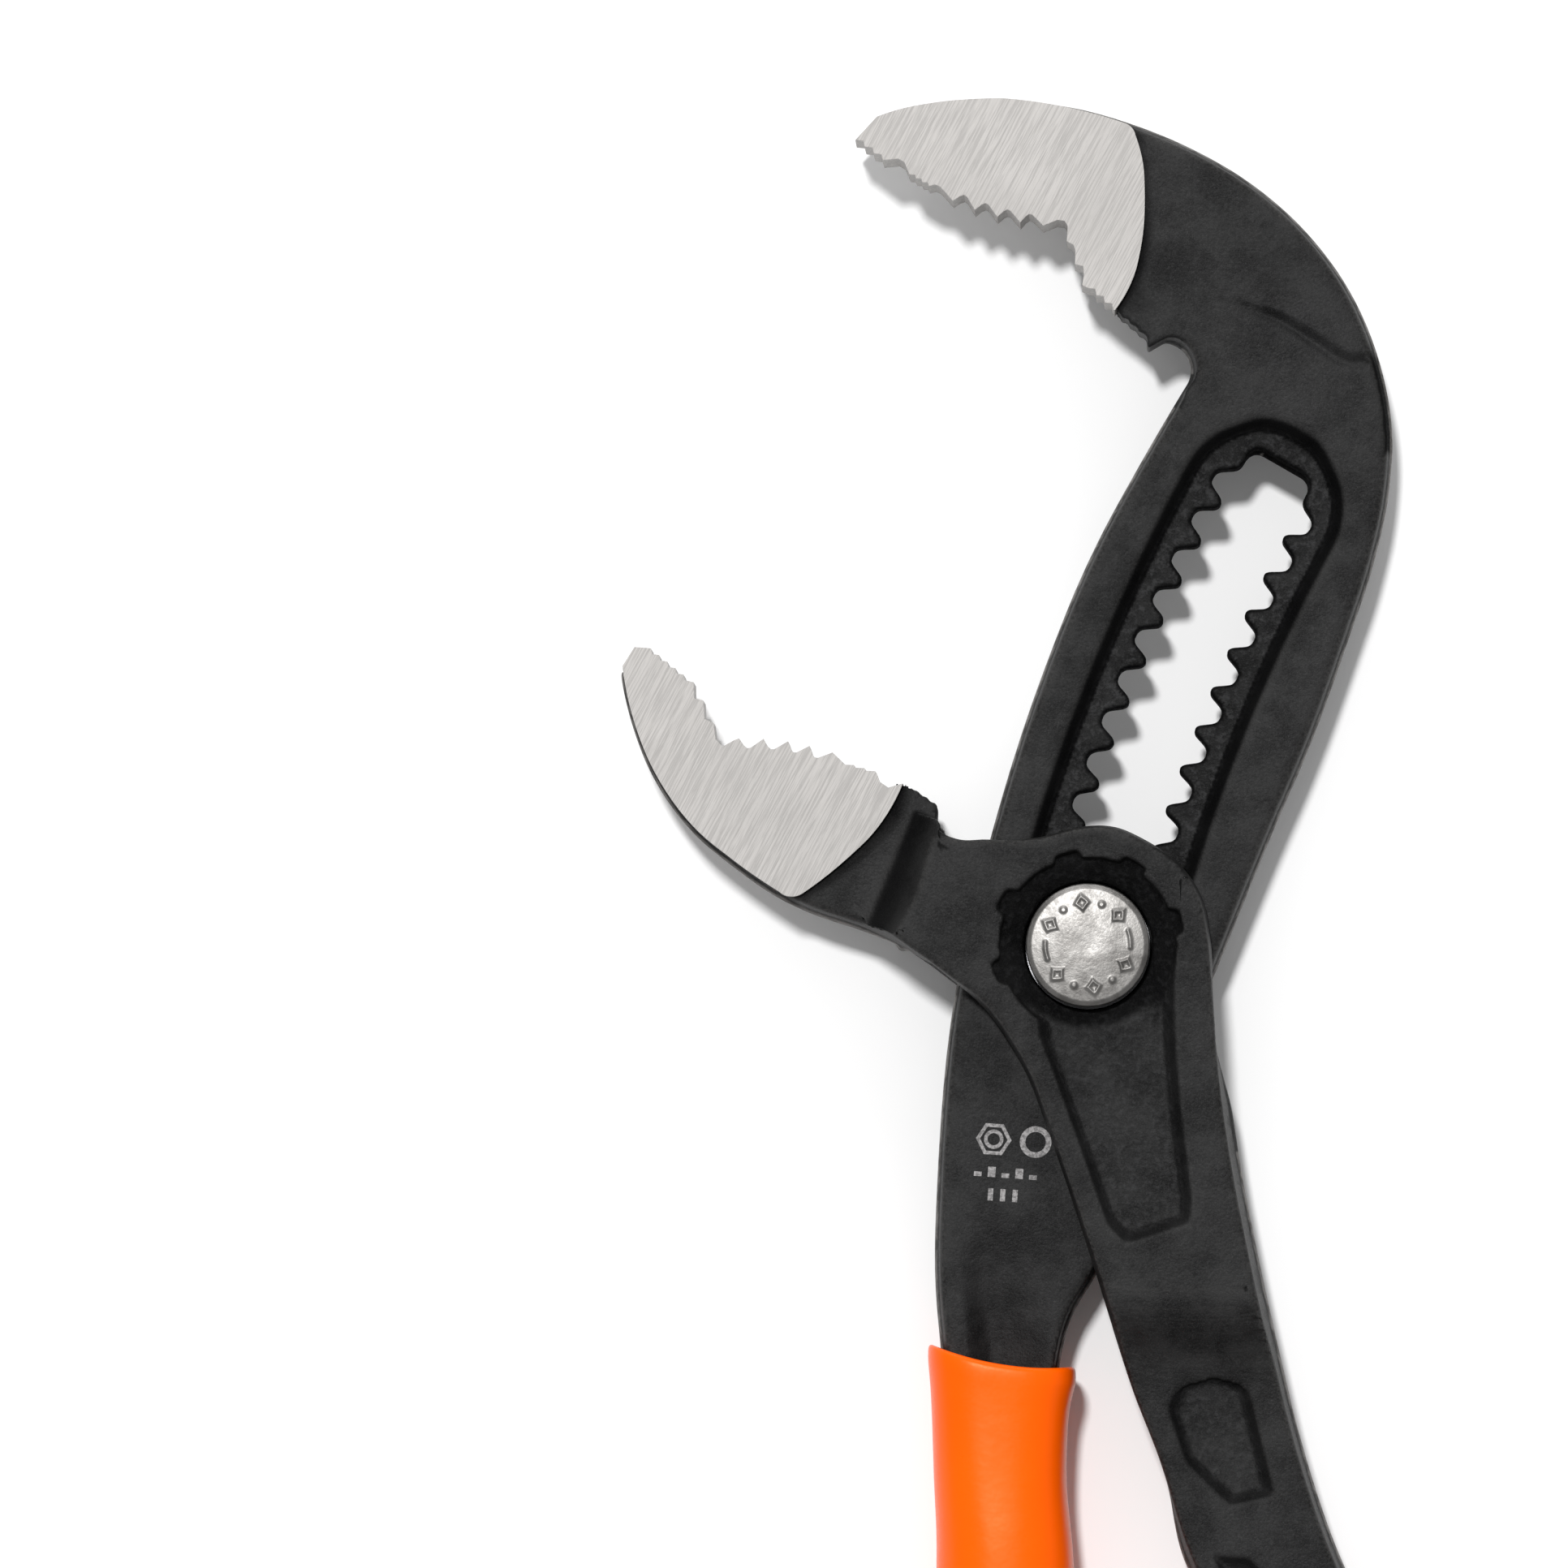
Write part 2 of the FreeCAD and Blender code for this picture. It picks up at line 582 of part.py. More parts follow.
def lathe(body, name, *profile):
    """A turned shape about the pivot axis, from half of its section in radius and height."""
    sketch = body.newObject("Sketcher::SketchObject", f"{name}Profile")
    sketch.AttachmentSupport = [(plane(body, "XZ_Plane"), "")]
    sketch.MapMode = "FlatFace"
    sketch.addGeometry(loop(*profile), False)
    feature = body.newObject("PartDesign::Revolution", name)
    feature.Profile = sketch
    feature.ReferenceAxis = (sketch, ["V_Axis"])
    feature.Angle = 360
    doc.recompute()
    return feature


def build_lock_pin():
    """A disc in the back cheek, a toothed block in the slot and a shank up to the button."""
    body = new_body("lock_pin")
    radius = size("pin_radius")
    chamfer = size("pin_chamfer")
    groove = size("ring_groove_radius")
    groove_high = size("ring_bottom") + size("ring_thickness")
    shank = size("shank_radius")
    spigot = size("spigot_radius")
    block = size("tooth_bottom")
    lathe(body, "PinTurning",
          (0.0, 0.0), (groove - chamfer, 0.0), (groove, chamfer), (groove, groove_high),
          (radius, groove_high), (radius, block), (shank, block), (shank, size("shank_top")),
          (spigot, size("shank_top")), (spigot, size("spigot_top")), (0.0, size("spigot_top")))
    _, lean = slot_frame(0)
    x = size("tongue_half_width")
    y = size("tongue_half_length")
    tongue = rounded(size("tongue_corner"), (-x, -y), (x, -y), (x, y), (-x, y))
    for name, edges, turn in (("Tongue", tongue, lean + 90),
                              ("Teeth", tooth_gap(size("tooth_play"), size("tooth_lead")), lean)):
        sketch = sketch_on(body, f"{name}Outline", edges, "tooth_bottom", turn=turn)
        pad(body, name, sketch, "sizes.tooth_top - sizes.tooth_bottom", symmetric=False)
    return body


def build_button_cap():
    """A pressed cap: a domed top with a rim, a hollow for the spring and a boss on the pin."""
    body = new_body("button_cap")
    radius = size("button_radius")
    hollow = size("button_hollow_radius")
    boss = size("button_boss_radius")
    spigot = size("spigot_radius")
    chamfer = size("button_chamfer")
    edge = size("button_edge")
    crown = size("button_crown")
    dome = [(share * radius, crown - (crown - edge) * share ** 2) for share in (0.6, 0.3, 0.0)]
    lathe(body, "CapTurning",
          (hollow, size("button_bottom")), (radius, size("button_bottom")), (radius, edge - chamfer),
          (radius - chamfer, edge), *dome,
          (0.0, size("spigot_top")), (spigot, size("spigot_top")), (spigot, size("shank_top")),
          (boss, size("shank_top")), (boss, size("button_hollow_top")), (hollow, size("button_hollow_top")))
    return body


def build_retaining_ring():
    """A snap ring in the pin's groove, open on one side."""
    body = new_body("pin_retaining_ring")
    inner = size("ring_groove_radius") + 0.05
    outer = size("ring_radius")
    half = size("ring_gap_angle") / 2
    edges = [
        arc(polar(outer, half), polar(outer, 180), polar(outer, -half)),
        line(polar(outer, -half), polar(inner, -half)),
        arc(polar(inner, -half), polar(inner, 180), polar(inner, half)),
        line(polar(inner, half), polar(outer, half)),
    ]
    outline = sketch_on(body, "RingOutline", edges, "ring_bottom")
    pad(body, "RingPlate", outline, "sizes.ring_thickness", symmetric=False)
    return body


def tube(name, outer, inner, bottom, height):
    """A ring about the pivot axis, made of two bound cylinders."""
    pieces = []
    for part, radius in (("Outside", outer), ("Inside", inner)):
        cylinder = doc.addObject("Part::Cylinder", f"{name}_{part}")
        cylinder.setExpression("Radius", f"sizes.{radius}")
        cylinder.setExpression("Height", f"sizes.{height}")
        cylinder.setExpression("Placement.Base.z", f"sizes.{bottom}")
        pieces.append(cylinder)
    ring = doc.addObject("Part::Cut", name)
    ring.Base, ring.Tool = pieces
    ring.Label = name
    return ring


def build_button_spring():
    """A coil of round wire between the washer and the inside of the button.

    The coil's line is short arcs through points of a helix, which sweep into sound faces.
    """
    radius = size("spring_wire") / 2
    bottom = size("washer_bottom") + size("washer_thickness") + radius
    rise = size("button_hollow_top") - radius - bottom
    halves = int(2 * SPRING_ARCS_PER_TURN * size("spring_turns"))
    points = []
    for i in range(halves + 1):
        x, y = polar(size("spring_radius"), 180.0 * i / SPRING_ARCS_PER_TURN)
        points.append(Vector(x, y, bottom + rise * i / halves))
    arcs = [Part.Arc(*points[i:i + 3]).toShape() for i in range(0, halves, 2)]
    start = (points[1] - points[0]).normalize()
    section = Part.Wire([Part.Circle(points[0], start, radius).toShape()])
    spring = doc.addObject("Part::Feature", "button_spring")
    spring.Shape = Part.Wire(arcs).makePipeShell([section], True, True)
    spring.Label = "button_spring"
    return spring


# ---------------------------------------------------------------- grips

# Each section of a grip: height, left and right edge, and share of the full thickness.
SLOTTED_GRIP = (
    (-37.0, -15.8, -0.9, 0.94), (-45.0, -15.4, -1.9, 0.94), (-52.0, -15.15, -2.1, 0.96),
    (-61.0, -14.9, -1.4, 1.0), (-76.0, -15.8, -1.3, 1.0), (-94.0, -18.1, -2.7, 1.0),
    (-118.0, -21.7, -5.6, 1.0), (-142.0, -26.0, -9.5, 1.0), (-158.0, -28.6, -12.2, 1.0),
    (-167.0, -28.9, -14.2, 0.96),
    (-171.5, -26.9, -17.2, 0.74), (-172.8, -24.7, -19.6, 0.5),
)
BUTTON_GRIP = (
    (-70.0, 12.4, 29.6, 0.94), (-78.0, 17.2, 32.6, 0.96), (-94.0, 22.6, 37.8, 1.0),
    (-117.0, 27.9, 43.2, 1.0), (-142.0, 31.4, 47.2, 1.0), (-168.0, 32.6, 48.8, 1.0),
    (-183.0, 32.2, 48.5, 1.0), (-191.5, 33.4, 46.9, 0.96), (-195.5, 35.2, 44.8, 0.74),
    (-196.8, 37.4, 42.4, 0.5),
)
GRIP_TOPS = {
    "slotted_arm": [(-30.0, -36.4), (-15.7, -38.7), (-8.0, -40.3), (-1.2, -41.0), (10.0, -42.0)],
    "button_arm": [(2.0, -81.4), (14.0, -77.2), (22.0, -74.6), (31.0, -72.2), (45.0, -68.4)],
}


def build_grip(arm, sections):
    """A dipped grip: a loft through rounded sections, cut off at its lip, less the arm inside it."""
    shell = new_body(f"{arm}_grip_blank")
    outlines = []
    for i, (height, left, right, share) in enumerate(sections):
        half = share * size("grip_thickness") / 2
        corner = 0.42 * min(right - left, 2 * half)
        corners = ((left, -half), (right, -half), (right, half), (left, half))
        sketch = shell.newObject("Sketcher::SketchObject", f"{arm}_section_{i}")
        sketch.AttachmentSupport = [(plane(shell, "XZ_Plane"), "")]
        sketch.MapMode = "FlatFace"
        sketch.AttachmentOffset = Placement(Vector(0, MID, -height), Rotation())
        sketch.addGeometry(rounded(corner, *corners), False)
        outlines.append(sketch)
    loft = shell.newObject("PartDesign::AdditiveLoft", f"{arm}_grip_loft")
    loft.Profile = outlines[0]
    loft.Sections = outlines[1:]
    doc.recompute()
    top = GRIP_TOPS[arm]
    over = chain(*top, (top[-1][0], top[-1][1] + 30), (top[0][0], top[0][1] + 30), top[0])
    lip = sketch_on(shell, f"{arm}_grip_lip_outline", over)
    pocket(shell, f"{arm}_grip_lip", lip, "sizes.beyond", symmetric=True)
    grip = doc.addObject("Part::Cut", f"{arm}_grip")
    grip.Base = shell
    grip.Tool = doc.getObject(arm)
    grip.Label = f"{arm}_grip"
    return grip


# ---------------------------------------------------------------- assembly and export

PIECES = [
    build_slotted_arm(),
    build_button_arm(),
    build_lock_pin(),
    build_button_cap(),
    build_retaining_ring(),
    tube("spring_washer", "washer_radius", "washer_bore", "washer_bottom", "washer_thickness"),
    build_button_spring(),
    build_grip("slotted_arm", SLOTTED_GRIP),
    build_grip("button_arm", BUTTON_GRIP),
]

doc.recompute()

for item in doc.Objects:
    if {"Invalid", "Error"} & set(item.State):
        raise RuntimeError(f"{item.Label} failed: {item.State}")

for piece in PIECES:
    if piece.Shape.isNull() or not piece.Shape.isValid() or len(piece.Shape.Solids) != 1:
        raise RuntimeError(f"{piece.Label} isn't one sound solid")

for piece in PIECES:
    piece.Shape.exportStep(f"parts/{piece.Label}.step")
    print(f"{piece.Label}: {piece.Shape.Volume:.0f} mm3")
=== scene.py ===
import bpy
import bmesh
import math
import numpy as np
from mathutils import Matrix, Vector
from mathutils.bvhtree import BVHTree
from mathutils.kdtree import KDTree


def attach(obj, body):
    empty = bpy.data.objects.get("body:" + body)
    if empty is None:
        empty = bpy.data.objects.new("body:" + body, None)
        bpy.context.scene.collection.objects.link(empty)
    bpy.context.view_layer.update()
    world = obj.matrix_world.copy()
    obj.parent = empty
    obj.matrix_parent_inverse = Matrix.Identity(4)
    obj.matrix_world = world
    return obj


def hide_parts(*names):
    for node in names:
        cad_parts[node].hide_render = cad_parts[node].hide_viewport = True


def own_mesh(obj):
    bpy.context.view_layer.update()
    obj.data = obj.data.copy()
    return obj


# Tongue and groove pliers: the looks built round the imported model. Lengths in this file are in
# millimetres, and MM turns them into the scene's metres.

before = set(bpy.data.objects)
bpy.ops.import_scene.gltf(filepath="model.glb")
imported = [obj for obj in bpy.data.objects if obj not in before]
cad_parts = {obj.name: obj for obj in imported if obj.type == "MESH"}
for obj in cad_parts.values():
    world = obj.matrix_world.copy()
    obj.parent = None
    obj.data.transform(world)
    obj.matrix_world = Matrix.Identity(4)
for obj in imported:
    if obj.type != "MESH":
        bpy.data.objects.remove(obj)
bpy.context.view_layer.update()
MM = 0.001
MID = 8.2
JAW_HALF = 4.2
CHEEK_HALF = 8.2
HANDLE_HALF = 5.4
scene = bpy.context.scene


# ---------------------------------------------------------------- mesh helpers


def link(name, mesh, material, body):
    """A new piece from a mesh, riding on a body, with the material given."""
    piece = bpy.data.objects.new(name, mesh)
    scene.collection.objects.link(piece)
    piece.data.materials.clear()
    piece.data.materials.append(material)
    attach(piece, body)
    return piece


def shade_smooth(mesh, angle=None):
    """Smooth shading, with edges sharper than the angle in degrees kept crisp."""
    mesh.shade_smooth()
    if angle:
        mesh.set_sharp_from_angle(angle=math.radians(angle))


def applied(mesh, *modifiers):
    """The mesh after modifiers, each a type and its settings."""
    holder = bpy.data.objects.new("holder", mesh)
    scene.collection.objects.link(holder)
    for kind, settings in modifiers:
        modifier = holder.modifiers.new(kind, kind)
        for setting, value in settings.items():
            setattr(modifier, setting, value)
    depsgraph = bpy.context.evaluated_depsgraph_get()
    result = bpy.data.meshes.new_from_object(holder.evaluated_get(depsgraph))
    bpy.data.objects.remove(holder)
    return result


def coordinates(mesh):
    flat = np.empty(len(mesh.vertices) * 3, np.float32)
    mesh.vertices.foreach_get("co", flat)
    return flat.reshape(-1, 3).astype(float)


def put_coordinates(mesh, points):
    mesh.vertices.foreach_set("co", points.astype(np.float32).ravel())
    mesh.update()


def cad_mesh(node):
    """A closed copy of a CAD node's mesh."""
    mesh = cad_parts[node].data.copy()
    work = bmesh.new()
    work.from_mesh(mesh)
    bmesh.ops.remove_doubles(work, verts=work.verts, dist=1e-6)
    work.to_mesh(mesh)
    work.free()
    mesh.materials.clear()
    return mesh


def spread(low, high, values):
    """A smooth step from 0 at low to 1 at high."""
    share = np.clip((values - low) / (high - low), 0, 1)
    return share * share * (3 - 2 * share)


def polyline_distance(points, route):
    """For each point: its distance to a polyline, how far along it lies, 0 to 1, and on which side."""
    route = np.array(route, float)
    lengths = np.linalg.norm(np.diff(route, axis=0), axis=1)
    starts = np.concatenate([[0], np.cumsum(lengths)])
    best = np.full(len(points), 1e9)
    along = np.zeros(len(points))
    side = np.zeros(len(points))
    for i, (a, b) in enumerate(zip(route, route[1:])):
        way = (b - a) / lengths[i]
        offset = points - a
        reach = np.clip(offset @ way, 0, lengths[i])
        gap = np.linalg.norm(offset - reach[:, None] * way, axis=1)
        closer = gap < best
        best[closer] = gap[closer]
        along[closer] = (starts[i] + reach[closer]) / starts[-1]
        cross = way[0] * offset[:, 1] - way[1] * offset[:, 0]
        side[closer] = np.sign(cross[closer])
    return best, along, side


def smooth_route(points, count=12):
    """A Catmull-Rom curve through points, as a list of close points."""
    points = [np.array(p, float) for p in points]
    ends = [2 * points[0] - points[1]] + points + [2 * points[-1] - points[-2]]
    route = []
    for a, b, c, d in zip(ends, ends[1:], ends[2:], ends[3:]):
        for i in range(count):
            t = i / count
            route.append(0.5 * (2 * b + (c - a) * t + (2 * a - 5 * b + 4 * c - d) * t * t
                                + (3 * b - a - 3 * c + d) * t ** 3))
    route.append(points[-1])
    return route


def inside(points, outline):
    """Which 2-D points lie inside a closed outline."""
    found = np.zeros(len(points), bool)
    x, y = points[:, 0], points[:, 1]
    for (ax, ay), (bx, by) in zip(outline, outline[1:] + outline[:1]):
        crosses = (ay > y) != (by > y)
        at = (bx - ax) * (y - ay) / ((by - ay) or 1e-12) + ax
        found ^= crosses & (x < at)
    return found


# ---------------------------------------------------------------- materials

SCRATCH_DEPTH = 0.02


def new_material(name):
    material = bpy.data.materials.new(name)
    material.use_nodes = True
    nodes = material.node_tree.nodes
    nodes.clear()
    out = nodes.new("ShaderNodeOutputMaterial")
    shader = nodes.new("ShaderNodeBsdfPrincipled")
    material.node_tree.links.new(shader.outputs["BSDF"], out.inputs["Surface"])
    return material, shader


class Graph:
    """Short names for wiring one material's nodes."""

    def __init__(self, material):
        self.tree = material.node_tree

    def node(self, kind, **settings):
        made = self.tree.nodes.new(kind)
        for name, value in settings.items():
            setattr(made, name, value)
        return made

    def wire(self, source, target):
        self.tree.links.new(source, target)

    def value(self, target, source):
        if isinstance(source, bpy.types.NodeSocket):
            self.wire(source, target)
        else:
            target.default_value = source

    def place(self, scale=(1, 1, 1), turn=(0, 0, 0)):
        """Object coordinates in millimetres, stretched and turned."""
        source = self.node("ShaderNodeTexCoord")
        turned = self.node("ShaderNodeMapping")
        turned.inputs["Rotation"].default_value = [math.radians(a) for a in turn]
        self.wire(source.outputs["Object"], turned.inputs["Vector"])
        scaled = self.node("ShaderNodeVectorMath", operation="MULTIPLY")
        scaled.inputs[1].default_value = [1000 * s for s in scale]
        self.wire(turned.outputs["Vector"], scaled.inputs[0])
        return scaled.outputs["Vector"]

    def noise(self, place, scale, detail=3.0, rough=0.55, distort=0.0):
        made = self.node("ShaderNodeTexNoise")
        self.wire(place, made.inputs["Vector"])
        made.inputs["Scale"].default_value = scale
        made.inputs["Detail"].default_value = detail
        made.inputs["Roughness"].default_value = rough
        made.inputs["Distortion"].default_value = distort
        return made.outputs["Fac"]

    def ramp(self, source, low, high, start=0.0, end=1.0):
        made = self.node("ShaderNodeMapRange")
        made.interpolation_type = "SMOOTHSTEP"
        self.value(made.inputs["Value"], source)
        made.inputs["From Min"].default_value = low
        made.inputs["From Max"].default_value = high
        made.inputs["To Min"].default_value = start
        made.inputs["To Max"].default_value = end
        return made.outputs["Result"]

    def maths(self, operation, a, b):
        made = self.node("ShaderNodeMath", operation=operation)
        self.value(made.inputs[0], a)
        self.value(made.inputs[1], b)
        return made.outputs["Value"]

    def mix(self, share, a, b):
        made = self.node("ShaderNodeMix", data_type="RGBA")
        self.value(made.inputs["Factor"], share)
        for socket, colour in ((made.inputs["A"], a), (made.inputs["B"], b)):
            wired = isinstance(colour, bpy.types.NodeSocket)
            self.value(socket, colour if wired else (*colour, 1))
        return made.outputs["Result"]

    def bump(self, height, strength, distance, under=None):
        made = self.node("ShaderNodeBump")
        made.inputs["Strength"].default_value = strength
        made.inputs["Distance"].default_value = distance * MM
        self.value(made.inputs["Height"], height)
        if under:
            self.wire(under, made.inputs["Normal"])
        return made.outputs["Normal"]

    def attribute(self, name):
        return self.node("ShaderNodeAttribute", attribute_name=name).outputs["Fac"]


def forged_black():
    """Matt black phosphate on a forging.

    Fine grain all over, rough hollows with painted shade in them, worn edges and a trimmed flash line, by
    the mesh's attributes.
    """
    material, shader = new_material("forged_black")
    g = Graph(material)
    place = g.place()
    grain = g.noise(place, 3.4, 4.0, 0.62)
    speckle = g.noise(place, 9.0, 2.0, 0.5)
    mottle = g.noise(place, 0.2, 5.0, 0.66)
    streaks = g.noise(g.place((0.35, 0.35, 2.2)), 1.6, 4.0, 0.6)
    painted_shade = g.attribute("painted_shade")
    worn = g.attribute("worn")
    trimmed = g.attribute("trimmed")
    tone = g.mix(g.ramp(mottle, 0.32, 0.68), (0.0020, 0.0020, 0.0021), (0.0080, 0.0080, 0.0081))
    tone = g.mix(g.ramp(speckle, 0.46, 0.72, 0.0, 0.55), tone, (0.026, 0.026, 0.026))
    cast = g.noise(place, 1.5, 5.0, 0.66)
    coarse = g.attribute("rough")
    lumpy = g.maths("MULTIPLY", coarse, g.ramp(cast, 0.47, 0.66, 0.0, 0.8))
    tone = g.mix(lumpy, tone, (0.034, 0.034, 0.035))
    # Painted shade: near-black tone in the hollows, on the channel and recess walls, down the ramp and
    # beside the bright jaw.
    tone = g.mix(g.maths("MULTIPLY", painted_shade, 0.8), tone, (0.0016, 0.0016, 0.0017))
    rubbed = g.maths("MULTIPLY", worn, g.ramp(grain, 0.40, 0.62, 0.2, 0.8))
    tone = g.mix(rubbed, tone, (0.068, 0.066, 0.064))
    sheared = g.maths("MULTIPLY", trimmed, g.ramp(streaks, 0.36, 0.6, 0.25, 1.0))
    tone = g.mix(sheared, tone, (0.20, 0.192, 0.184))
    g.wire(tone, shader.inputs["Base Color"])
    rough = g.maths("ADD", g.ramp(mottle, 0.3, 0.7, 0.5, 0.6), g.maths("MULTIPLY", painted_shade, 0.3))
    g.wire(g.maths("ADD", rough, g.ramp(grain, 0.3, 0.7, -0.05, 0.06)), shader.inputs["Roughness"])
    # The painted shade also dims the shine.
    painted_shade_dimming = g.ramp(painted_shade, 0.0, 1.0, 1.0, 0.24)
    shine = g.maths("MULTIPLY", g.ramp(mottle, 0.32, 0.68, 0.13, 0.26), painted_shade_dimming)
    g.wire(shine, shader.inputs["Specular IOR Level"])
    fine = g.bump(grain, 0.8, 0.08)
    lumps = g.maths("MULTIPLY", cast, g.ramp(coarse, 0.0, 1.0, 0.12, 1.0))
    g.wire(g.bump(lumps, 0.9, 0.34, fine), shader.inputs["Normal"])
    return material


def brushed(name, turn, pale, dark, rough):
    """Belt-ground bright steel: long scratches one way, with darker strokes among them."""
    material, shader = new_material(name)
    g = Graph(material)
    along = g.place((0.03, 1.0, 0.5), (0, 0, turn))
    strokes = g.noise(along, 5.5, 5.0, 0.66)
    hair = g.noise(along, 13.0, 3.0, 0.6)
    cloud = g.noise(g.place(), 0.09, 2.0, 0.5)
    tone = g.mix(g.ramp(strokes, 0.40, 0.60), dark, pale)
    tone = g.mix(g.ramp(hair, 0.58, 0.8, 0.0, 0.55), tone, [c * 0.62 for c in dark])
    tone = g.mix(g.ramp(cloud, 0.3, 0.7, 0.0, 0.16), tone, dark)
    g.wire(tone, shader.inputs["Base Color"])
    shader.inputs["Metallic"].default_value = 1.0
    g.wire(g.ramp(strokes, 0.3, 0.7, rough - 0.06, rough + 0.08), shader.inputs["Roughness"])
    scratch = g.maths("ADD", strokes, g.maths("MULTIPLY", hair, 0.6))
    g.wire(g.bump(scratch, 0.5, SCRATCH_DEPTH), shader.inputs["Normal"])
    return material


def polished_button():
    """Pressed and tumbled steel: soft shine with fine dents and a faint cloud of wear."""
    material, shader = new_material("polished_button")
    g = Graph(material)
    place = g.place()
    cloud = g.noise(place, 0.5, 4.0, 0.6)
    fine = g.noise(place, 4.0, 4.0, 0.6)
    tone = g.mix(g.ramp(cloud, 0.35, 0.65), (0.165, 0.159, 0.152), (0.275, 0.267, 0.257))
    g.wire(tone, shader.inputs["Base Color"])
    shader.inputs["Metallic"].default_value = 1.0
    g.wire(g.ramp(fine, 0.3, 0.7, 0.40, 0.52), shader.inputs["Roughness"])
    dents = g.maths("ADD", cloud, g.maths("MULTIPLY", fine, 0.45))
    g.wire(g.bump(dents, 0.6, 0.06), shader.inputs["Normal"])
    return material


def dipped_vinyl():
    """Glossy orange vinyl with a faint orange-peel skin."""
    material, shader = new_material("dipped_vinyl")
    g = Graph(material)
    place = g.place()
    peel = g.noise(place, 0.55, 2.0, 0.5)
    dust = g.noise(place, 3.5, 3.0, 0.6)
    cloud = g.noise(place, 0.05, 3.0, 0.5)
    tone = g.mix(g.ramp(cloud, 0.3, 0.7), (0.94, 0.103, 0.0), (0.96, 0.114, 0.0))
    g.wire(tone, shader.inputs["Base Color"])
    g.wire(g.ramp(dust, 0.3, 0.75, 0.30, 0.38), shader.inputs["Roughness"])
    shader.inputs["Specular IOR Level"].default_value = 0.26
    shader.inputs["Specular Tint"].default_value = (1.0, 0.66, 0.36, 1.0)
    skin = g.maths("ADD", peel, g.maths("MULTIPLY", dust, 0.04))
    g.wire(g.bump(skin, 0.25, 0.12), shader.inputs["Normal"])
    return material


def etched_grey():
    """The pale frosted surface that a laser leaves on black phosphate."""
    material, shader = new_material("etched_grey")
    g = Graph(material)
    dots = g.noise(g.place(), 3.2, 4.0, 0.75)
    tone = g.mix(g.ramp(dots, 0.4, 0.6), (0.13, 0.125, 0.125), (0.33, 0.32, 0.32))
    g.wire(tone, shader.inputs["Base Color"])
    shader.inputs["Roughness"].default_value = 0.7
    g.wire(g.bump(dots, 0.4, 0.03), shader.inputs["Normal"])
    return material


FORGED = forged_black()
JAW_STEEL = brushed("ground_jaw_steel", -62, (0.45, 0.436, 0.423), (0.25, 0.242, 0.234), 0.60)
BUTTON_STEEL = polished_button()
PIN_STEEL = brushed("turned_pin_steel", 20, (0.50, 0.49, 0.48), (0.36, 0.35, 0.34), 0.32)
SPRING_STEEL = brushed("spring_steel", 0, (0.34, 0.34, 0.35), (0.22, 0.22, 0.23), 0.38)
VINYL = dipped_vinyl()
ETCHED = etched_grey()

# ---------------------------------------------------------------- ground jaws

JAW_EDGE = 0.14


def ground_jaw(name, node, body):
    """The bright jaw: the CAD jaw's top face, teeth and all, run down through its thickness."""
    mesh = cad_mesh(node)
    work = bmesh.new()
    work.from_mesh(mesh)
    top = (MID + JAW_HALF) * MM
    other = [f for f in work.faces
             if f.normal.z < 0.99 or abs(f.calc_center_median().z - top) > 1e-5]
    bmesh.ops.delete(work, geom=other, context="FACES")
    bmesh.ops.dissolve_limit(work, angle_limit=0.01, verts=work.verts, edges=work.edges)
    made = bmesh.ops.extrude_face_region(work, geom=list(work.faces))
    moved = [v for v in made["geom"] if isinstance(v, bmesh.types.BMVert)]
    bmesh.ops.translate(work, verts=moved, vec=(0, 0, -2 * JAW_HALF * MM))
    bmesh.ops.recalc_face_normals(work, faces=work.faces)
    rims = [e for e in work.edges if abs(e.verts[0].co.z - e.verts[1].co.z) < 1e-6]
    bmesh.ops.bevel(work, geom=rims, offset=JAW_EDGE * MM, segments=2, affect="EDGES",
                    clamp_overlap=True)
    bmesh.ops.dissolve_degenerate(work, dist=1e-7, edges=work.edges)
    large = [f for f in work.faces if len(f.verts) > 4]
    bmesh.ops.triangulate(work, faces=large, ngon_method="BEAUTY")
    result = bpy.data.meshes.new(name)
    work.to_mesh(result)
    work.free()
    shade_smooth(result, 28)
    for polygon in result.polygons:
        polygon.use_smooth = abs(polygon.normal.z) < 0.999
    return link(name, result, JAW_STEEL, body)


upper_jaw = ground_jaw("upper_jaw_face", "slotted_arm", "slotted_arm")
lower_jaw = ground_jaw("lower_jaw_face", "button_arm", "button_arm")

# ---------------------------------------------------------------- forged arms

VOXEL = 0.26
WEAR_STEPS = 26
WEAR_FULL = 0.35
FACES_KEPT = 170000
# How far beyond the bright jaw the forging is bare, and how far painted shade reaches beside it.
BARE_REACH = 0.25
SHADE_REACH = 1.2
JAW_INSET = 0.6
# Draft: how far a wall leans in for each millimetre off the middle, and up to which height.
DRAFT = 0.1
DRAFT_HEIGHT = 7.0
FLASH_HALF = 0.75
FLASH_STEP = 0.24
RIM_WIDTH = 4.0
# A wall is outer if a ray from just off it meets nothing this far out.
RAY_START = 0.9
RAY = 45.0


def worn_solid(mesh, weights):
    """The mesh with its edges worn round by weight, and its points from before."""
    points = coordinates(mesh) / MM
    holder = bpy.data.objects.new("holder", mesh)
    scene.collection.objects.link(holder)
    group = holder.vertex_groups.new(name="wear_share")
    levels = np.round(weights(points), 1)
    for level in np.unique(levels):
        group.add(np.nonzero(levels == level)[0].tolist(), float(level), "REPLACE")
    modifier = holder.modifiers.new("wear", "SMOOTH")
    modifier.factor = 0.5
    modifier.iterations = WEAR_STEPS
    modifier.vertex_group = "wear_share"
    depsgraph = bpy.context.evaluated_depsgraph_get()
    result = bpy.data.meshes.new_from_object(holder.evaluated_get(depsgraph))
    bpy.data.objects.remove(holder)
    return result, points


